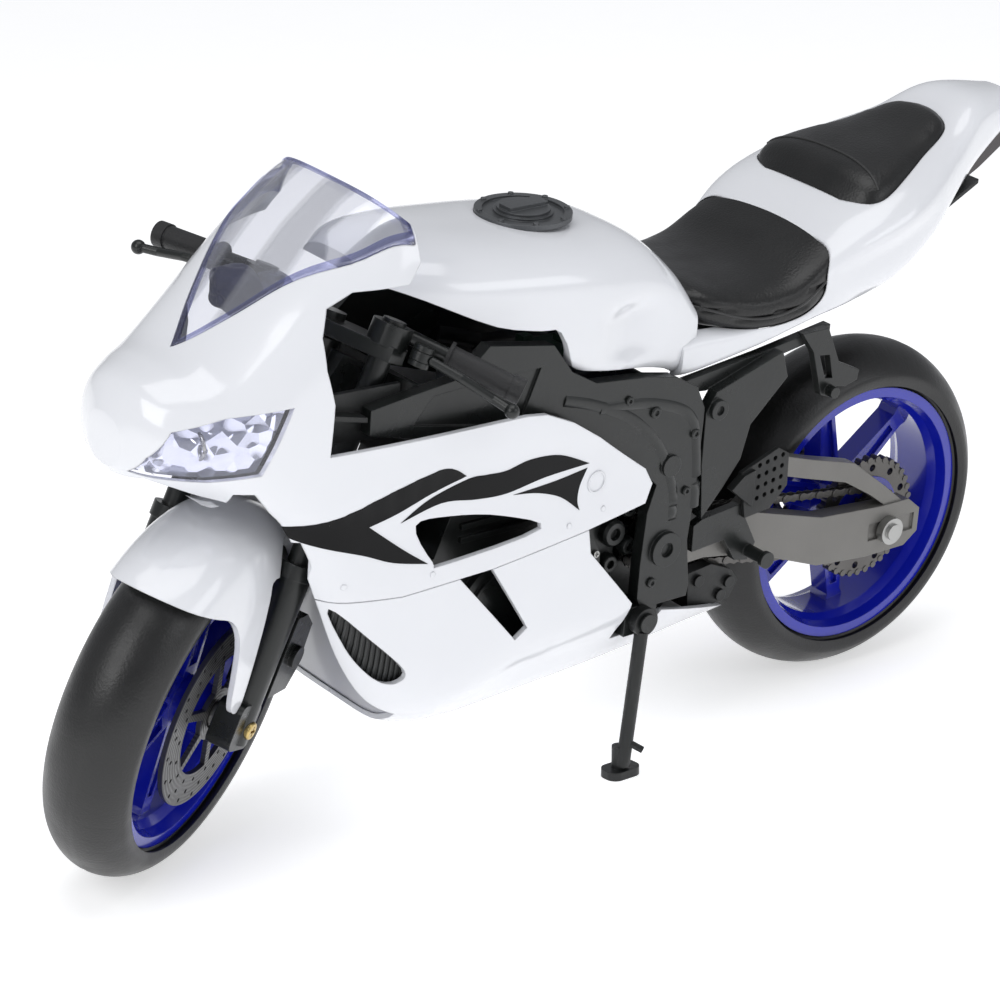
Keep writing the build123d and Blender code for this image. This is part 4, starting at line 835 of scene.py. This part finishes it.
def fuel_tank():
    """Hollow tank shell with a trimmed skirt and a flat round seat for the cap."""
    body = loft("tank_shell", TANK, shape=tank_shape)
    hollow = [(min(x, 70.0) if x > 0 else max(x, -34.0), *rest) for x, *rest in TANK]
    cut(body, loft("hollow", hollow, TANK_SKIN, shape=tank_shape))
    edge = spline_points(TANK_EDGE[:12], 3) + TANK_EDGE[12:]
    keep(body, prism(edge, -60, 60))
    seat = disc_outline(CAP_SEAT, CAP_SEAT_RADIUS, 96)
    cut(body, prism(seat, CAP_SEAT_FLOOR, 190, "Z"))
    white_panel(body, "fuel_tank")


def tail_shape(x, y, z):
    """Recess under the tail's side bulge."""
    hollow = eased((-60 - x) / 14) * eased((x + 128) / 20) * eased((z - 128) / 5)
    hollow *= eased((150 - z - 0.28 * (x + 92)) / 8)
    return x, y * (1 - 0.07 * hollow), z


PAD_GAP = 0.3
PAD_WELL = (-74, -20, -22, 22, 110, 150)
TAIL_FRONT = (-29.5, -20, -40, 40, 100, 150)


def tail_cowl():
    """Tail shell with hollows for both pads."""
    body = moulding("tail_shell", TAIL, tail_shape, TAIL[-1][0])
    cut(body, loft("seat", RIDER_SEAT, -PAD_GAP))
    cut(body, loft("seat", PILLION_SEAT, -PAD_GAP))
    cut(body, box_cutter(*PAD_WELL))
    cut(body, box_cutter(*TAIL_FRONT))
    white_panel(body, "tail_cowl")


UNDERTRAY_GAP = 0.35
UNDERTRAY_THICK = 1.3
UNDERTRAY_HALF = 15


def undertray():
    """Thin closing plate tucked under the tail."""
    low = [(x, z - UNDERTRAY_GAP) for x, z, *_ in TAIL[2:-1]]
    outline = low + [(x, z - UNDERTRAY_THICK) for x, z in reversed(low)]
    plate = prism(outline, -UNDERTRAY_HALF, UNDERTRAY_HALF)
    plate.name = "tail_underside"
    finish_piece(plate, MATT, "frame_black", ["undertray"])


def padded(name, stations, crown):
    """Cushion with a crowned top, a slight ripple above the widest line and a tucked seam round the
    side.
    """
    def shape(x, y, z):
        _, _, _, half, middle, _, _ = min(stations, key=lambda s: abs(s[0] - x))
        across = max(0.0, 1 - (y / half) ** 2)
        lift = crown * across if z > middle else 0.0
        wrinkle = 0.03 * math.sin(1.9 * x + 0.4 * y) * math.exp(-((z - middle - 2) / 1.6) ** 2)
        tuck = 0.022 * math.exp(-((z - middle) / 0.7) ** 2)
        return x, y * (1 - tuck), z + lift + wrinkle
    return loft(name, stations, 0.0, steps=12, around=160, shape=shape)


PIPING_INSET = 0.006


def seam_path(stations):
    """Closed line round a cushion's widest points."""
    left = [(s[0], s[3] * (1 - PIPING_INSET), s[4]) for s in spline_points(stations, 14)]
    return left + [(x, -y, z) for x, y, z in reversed(left)]


def over_pad(stations, at, crown, bow):
    """Line across the top of a pad near x = at, bowed back in the middle."""
    fine = spline_points(stations, 40)
    line = []
    for i in range(33):
        across = -0.93 + 1.86 * i / 32
        x = at - bow * (1 - across ** 2)
        _, _, high, half, widest, upper, _ = min(fine, key=lambda s: abs(s[0] - x))
        power = 2 / upper
        z = widest + (high - widest) * (1 - abs(across) ** power) ** (1 / power)
        line.append((x, across * half, z + crown * (1 - across ** 2) + 0.05))
    return line


RIDER_CROWN = 0.7
PILLION_CROWN = 0.5


def seats():
    """Both pads, with piping round their widest line and a seam behind the pillion's roll."""
    rider = padded("rider_pad", RIDER_SEAT, RIDER_CROWN)
    finish_piece(rider, SEAT, "seat_skin", ["rider_seat"], angle=60)
    bead = tube("rider_piping", seam_path(RIDER_SEAT), 0.45, closed=True)
    finish_piece(bead, PIPING, "seat_skin")
    pillion = padded("pillion_pad", PILLION_SEAT, PILLION_CROWN)
    finish_piece(pillion, SEAT, "seat_skin", ["pillion_seat"], angle=60)
    bead = tube("pillion_piping", seam_path(PILLION_SEAT), 0.4, closed=True)
    finish_piece(bead, PIPING, "seat_skin")
    seam = tube("pillion_seam", over_pad(PILLION_SEAT, -101.5, PILLION_CROWN, 3.0), 0.35)
    finish_piece(seam, PIPING, "seat_skin")


# ================================================================ wheels and chain
SHOULDER_DROP = 7.75


def tyre_profile(radius, half, bead_half, bead=38.6):
    """Closed outline: round crown, shoulder, bulged sidewall with a rim bead."""
    shoulder = radius - SHOULDER_DROP
    crown_r = (half ** 2 + SHOULDER_DROP ** 2) / (2 * SHOULDER_DROP)
    centre = radius - crown_r
    top = math.asin(min(1.0, half / crown_r))
    outer = [(centre + crown_r * math.cos(a), crown_r * math.sin(a))
             for a in (top * k / 18 for k in range(-18, 19))]
    wall = [(shoulder - 1.6, half + 0.1), (shoulder - 3.4, half - 0.4), (bead + 2.6, bead_half + 1.5),
            (bead + 1.6, bead_half + 0.7), (bead + 0.3, bead_half + 0.1), (bead, bead_half)]
    return outer + wall + [(r, -y) for r, y in reversed(wall)]


def tread(radius, half):
    """Shallow raked grooves on both flanks and a centre seam."""
    def ripple(angle, r, y):
        flank = eased((abs(y) / half - 0.22) / 0.1) * eased((0.95 - abs(y) / half) / 0.08)
        phase = (angle * 54 / (2 * math.pi) + 0.55 * abs(y) / half) % 1.0
        groove = math.exp(-((phase - 0.5) / 0.09) ** 2)
        seam = math.exp(-(y / 0.35) ** 2) if r > radius - 1 else 0.0
        return -0.02 * flank * groove * (r > radius - 9) - 0.08 * seam
    return ripple


# Name, outer radius, half width, half width at the bead, body.
TYRES = (("rear", 52.0, 14.0, 10.4, "rear_wheel"), ("front", 51.45, 12.5, 8.3, "front_wheel"))
TYRE_TURNS = 1080


def tyres():
    rear = BIKE @ Matrix.Translation((REAR_AXLE[0], 0, REAR_AXLE[1]))
    front = FORK @ Matrix.Translation((LEG_X, 0, 0))
    for (name, radius, half, bead, body), matrix in zip(TYRES, (rear, front)):
        obj = lathe(name + "_tread", tyre_profile(radius, half, bead), TYRE_TURNS, matrix,
                    tread(radius, half))
        finish_piece(obj, RUBBER, "tyre_rubber", [name + "_tyre"], body, matrix=None, angle=45)


CHAIN_CLEAR = 1.3
CHAIN_Y = 16.5
ROLLER_RADIUS = 0.7
ROLLER_HALF = 1.15


def belt_path(step):
    """Points at the chain pitch along the belt line round both sprockets, x, z."""
    rear_r = CHAIN_PITCH / (2 * math.sin(math.pi / REAR_TEETH)) + CHAIN_CLEAR
    front_r = CHAIN_PITCH / (2 * math.sin(math.pi / FRONT_TEETH)) + CHAIN_CLEAR
    dx = PIVOT[0] - REAR_AXLE[0]
    dz = PIVOT[1] - REAR_AXLE[1]
    span = math.hypot(dx, dz)
    slope = math.atan2(dz, dx)
    wrap = math.asin((rear_r - front_r) / span)
    top = slope + math.pi / 2 - wrap
    low = slope - math.pi / 2 + wrap
    path = []
    for k in range(161):
        a = top + (low + 2 * math.pi - top) * k / 160
        path.append((REAR_AXLE[0] + rear_r * math.cos(a), REAR_AXLE[1] + rear_r * math.sin(a)))
    for k in range(81):
        a = low + (top - low) * k / 80
        path.append((PIVOT[0] + front_r * math.cos(a), PIVOT[1] + front_r * math.sin(a)))
    path.append(path[0])
    lengths = [0.0]
    for p, q in zip(path, path[1:]):
        lengths.append(lengths[-1] + math.hypot(q[0] - p[0], q[1] - p[1]))
    links = 2 * round(lengths[-1] / step / 2)
    result = []
    i = 0
    for k in range(links):
        at = lengths[-1] * k / links
        while lengths[i + 1] < at:
            i += 1
        t = (at - lengths[i]) / max(1e-9, lengths[i + 1] - lengths[i])
        result.append(tuple(p + (q - p) * t for p, q in zip(path[i], path[i + 1])))
    return result


def link_plate(a, b, y0, y1, radius=1.25, waist=0.85):
    """Waisted plate round two pins."""
    along = math.atan2(b[1] - a[1], b[0] - a[0])
    outline = []
    for centre, start in ((b, along - math.pi / 2), (a, along + math.pi / 2)):
        for k in range(7):
            t = start + math.pi * k / 6
            outline.append((centre[0] + radius * math.cos(t), centre[1] + radius * math.sin(t)))
        middle = ((a[0] + b[0]) / 2, (a[1] + b[1]) / 2)
        t = start + math.pi
        outline.append((middle[0] + waist * math.cos(t), middle[1] + waist * math.sin(t)))
    return [[(x, y, z) for x, z in outline] for y in (y0, y1)]


def drive_chain():
    """Closed band of side plates and rollers."""
    pins = belt_path(CHAIN_PITCH)
    points = []
    faces = []

    def add(rows):
        start = len(points)
        count = len(rows[0])
        points.extend(p for row in rows for p in row)
        for j in range(count):
            k = (j + 1) % count
            faces.append((start + j, start + k, start + count + k, start + count + j))
        faces.append(tuple(range(start, start + count)))
        faces.append(tuple(reversed(range(start + count, start + 2 * count))))

    for i, a in enumerate(pins):
        b = pins[(i + 1) % len(pins)]
        outside = i % 2
        for side in (-1, 1):
            inner = CHAIN_Y + side * (0.62 + 0.26 * outside)
            add(link_plate(a, b, *sorted((inner, inner + side * 0.24))))
        ring = disc_outline(a, ROLLER_RADIUS, 10)
        add([[(x, y, z) for x, z in ring] for y in (CHAIN_Y - ROLLER_HALF, CHAIN_Y + ROLLER_HALF)])
    chain = tidy_normals(mesh_object("chain_links", points, faces))
    finish_piece(chain, CHAIN_STEEL, "chain_steel", ["drive_chain"], "swingarm")


# ================================================================ front mudguard
LEG_ROOM = 5.9
FENDER_SIDE = [(64, 44), (53, 33), (45.5, 31), (37, 30.5), (28.5, 30), (22.5, 25), (17.5, 14.5),
               (14, 7.0), (10.5, 4.5), (7.5, 6.0), (7.8, 14), (9.5, 26), (10.0, 36), (8.0, 41),
               (-9, 42), (-18, 40), (-22, 46), (-26, 58), (-10, 66), (30, 66), (64, 46)]


def fender():
    """Mudguard hood with skirts that run down into a tongue ahead of each leg."""
    half_profile = [(55.6, 0.0), (55.3, 4.0), (54.2, 8.5), (51.8, 12.4), (48.5, 14.9),
                    (43.5, 17.0), (37.0, 18.8), (28.0, 20.0), (14.0, 20.8), (3.0, 21.2)]
    outer = spline_points(half_profile, 5)
    inner = [(r - (1.4 if r > 50 else 0.5), y - (1.5 if r < 50 else 1.0) * (y > 2))
             for r, y in reversed(outer)]
    half_ring = outer + inner
    pieces = []
    for side in (1, -1):
        profile = [(r, side * max(y, -0.02)) for r, y in half_ring]
        pieces.append(lathe("hoop", profile, 240, Matrix.Identity(4)))
    hood = join(*pieces)
    keep(hood, prism(spline_points(FENDER_SIDE, 4, True), -60, 60))
    for side in (-1, 1):
        cut(hood, prism(disc_outline((0, side * LEG_Y), LEG_ROOM, 48), 30, 75, "Z"))
    finish_piece(hood, WHITE, "body_white", ["front_fender"], "fork_lower",
                 matrix=FORK @ Matrix.Translation((LEG_X, 0, 0)))


# ================================================================ frame dressing
FRAME_FACE = 30.0
FRAME_RIBS = [
    [(15, 122.5), (4, 119), (-10, 112), (-21, 101), (-27, 88), (-28, 78)],
    [(2, 117.5), (-16, 115.5), (-31, 109), (-35, 96), (-36, 80)],
]
RIB_RADIUS = 2.9
RIB_SUNK = 2.4
# x, z, radius of each head.
FRAME_BOLTS = [(-18, 112.5, 1.7), (-33.5, 103, 1.5), (-32, 86, 1.3), (-22, 60, 1.5), (-8, 118, 1.3)]
ENGINE_FACE = 22.0
ENGINE_KNOBS = [(-13, 90, 3.6), (-17, 82, 3.0), (-12, 75, 4.0), (-17.5, 70, 2.6), (-11, 66, 2.8)]


def button(name, x, z, radius, face, tall, material, slot):
    """Round head with a soft shoulder and a sunk socket."""
    profile = [(0.01, face - 1), (radius, face - 1), (radius, face + 0.7 * tall),
               (0.82 * radius, face + tall), (0.45 * radius, face + tall),
               (0.40 * radius, face + 0.45 * tall), (0.01, face + 0.45 * tall)]
    for side in (1, -1):
        turned = [(r, side * y) for r, y in profile]
        head = lathe(f"{name}_{side_name(side)}", turned, 40, BIKE @ Matrix.Translation((x, 0, z)))
        finish_piece(head, material, slot, matrix=None)


def frame_dressing():
    """Raised ribs, bolts and engine knobs on the flat plates."""
    for i, line in enumerate(FRAME_RIBS):
        for side in (1, -1):
            path = [(x, side * (FRAME_FACE - RIB_SUNK), z) for x, z in spline_points(line, 8)]
            rib = tube(f"frame_rib_{i}_{side_name(side)}", path, RIB_RADIUS, sides=28)
            finish_piece(rib, SATIN, "frame_black", angle=60)
    for i, (x, z, radius) in enumerate(FRAME_BOLTS):
        button(f"frame_bolt_{i}", x, z, radius, FRAME_FACE, 0.9, SATIN, "frame_black")
    for i, (x, z, radius) in enumerate(ENGINE_KNOBS):
        button(f"engine_knob_{i}", x, z, radius, ENGINE_FACE, 3.0, SATIN, "frame_black")


# ================================================================ carried-over CAD nodes
CAD_FINISH = (
    (SATIN, ("main_frame", "engine_case_left", "engine_case_right", "footrest_hangers",
             "pillion_hangers", "steering_stem", "fork_tubes", "handlebars", "clutch_lever",
             "brake_lever", "fork_sliders", "front_calipers", "rear_caliper")),
    (MATT, ("heel_guards", "exhaust_box", "power_switch", "steering_servo", "inner_panels",
            "radiator", "servo_horn", "side_stand", "switch_slider")),
    (STEEL, ("case_screws", "drive_motor", "front_axle", "rear_axle", "countershaft",
             "drag_link")),
    (CHAIN_STEEL, ("rear_sprocket", "drive_gear", "front_sprocket")),
    (BLUE, ("front_rim", "rear_rim")),
    (BRASS, ("axle_screws", "motor_pinion")),
    (BATTERY, ("battery_pack",)), (BOARD, ("control_board",)), (CAP_GREY, ("fuel_cap",)),
    (LAMP_DARK, ("tail_lamp",)), (GRIP, ("handlebar_grips",)), (ARM_GREY, ("swingarm",)),
    (DISC_FRONT, ("front_discs",)), (DISC_REAR, ("rear_disc",)),
)


def dress_cad_nodes(nodes):
    for material, names in CAD_FINISH:
        for name in names:
            paint(nodes[name], material)


# ================================================================ stage
def area_light(name, location, aim, size, power, colour=(1, 1, 1)):
    data = bpy.data.lights.new(name, "AREA")
    data.shape = "RECTANGLE"
    data.size, data.size_y = size
    data.energy = power
    data.color = colour
    obj = bpy.data.objects.new(name, data)
    obj.location = location
    obj.rotation_euler = (Vector(aim) - Vector(location)).to_track_quat("-Z", "Y").to_euler()
    bpy.context.scene.collection.objects.link(obj)


SKY_COLOUR = (0.93, 0.95, 1.0, 1)
SKY_STRENGTH = 0.38
FLOOR_HALF = 6.0
FLOOR_GLOW = 0.56
SENSOR_WIDTH = 36.0
# Name, place, aim, size and power of the soft lights, with a colour where it isn't white.
LIGHTS = (("top", (0.05, 0.15, 1.25), (0, 0, 0.08), (1.1, 0.8), 5.0),
          ("key", (1.0, 0.25, 0.75), (0, 0, 0.08), (0.7, 0.7), 4.2),
          ("side", (-0.6, 1.1, 0.6), (0, 0, 0.08), (0.9, 0.5), 2.4, (0.97, 0.98, 1.0)))


def stage():
    """Pale floor, soft studio lights and the camera."""
    scene = bpy.context.scene
    world = bpy.data.worlds.new("studio")
    world.use_nodes = True
    background = world.node_tree.nodes["Background"]
    background.inputs[0].default_value = SKY_COLOUR
    background.inputs[1].default_value = SKY_STRENGTH
    scene.world = world
    half = FLOOR_HALF
    floor = mesh_object("floor", [(-half, -half, 0), (half, -half, 0), (half, half, 0),
                                  (-half, half, 0)], [(0, 1, 2, 3)])
    floor.data.materials.append(surface("floor_paper", (0.93, 0.93, 0.93), 0.75, specular=0.1,
                                        grain=(300.0, 0.02), mottle=0.004, glow=FLOOR_GLOW))
    for light in LIGHTS:
        area_light(*light)
    scene.view_settings.view_transform = "Standard"
    scene.view_settings.exposure = 0.0
    data = bpy.data.cameras.new("camera")
    data.lens = CAMERA_LENS
    data.sensor_width = SENSOR_WIDTH
    camera = bpy.data.objects.new("camera", data)
    scene.collection.objects.link(camera)
    location = Vector(CAMERA_AT) * 0.001
    camera.location = location
    aim = Vector(CAMERA_AIM) * 0.001 - location
    camera.rotation_euler = aim.to_track_quat("-Z", "Y").to_euler()
    scene.camera = camera


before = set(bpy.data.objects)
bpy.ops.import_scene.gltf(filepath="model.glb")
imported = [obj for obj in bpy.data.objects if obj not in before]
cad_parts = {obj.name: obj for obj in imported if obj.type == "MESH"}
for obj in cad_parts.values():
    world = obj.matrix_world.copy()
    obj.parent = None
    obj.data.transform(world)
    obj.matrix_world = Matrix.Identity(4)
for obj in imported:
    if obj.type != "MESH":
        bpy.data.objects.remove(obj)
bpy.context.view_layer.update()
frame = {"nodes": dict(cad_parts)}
dress_cad_nodes(frame["nodes"])
upper_cowl()
lower_fairing(1)
lower_fairing(-1)
belly_wall()
decals()
duct_inserts()
dash()
panel_seam()
windscreen()
headlights()
fuel_tank()
tail_cowl()
undertray()
seats()
tyres()
drive_chain()
fender()
frame_dressing()
stage()
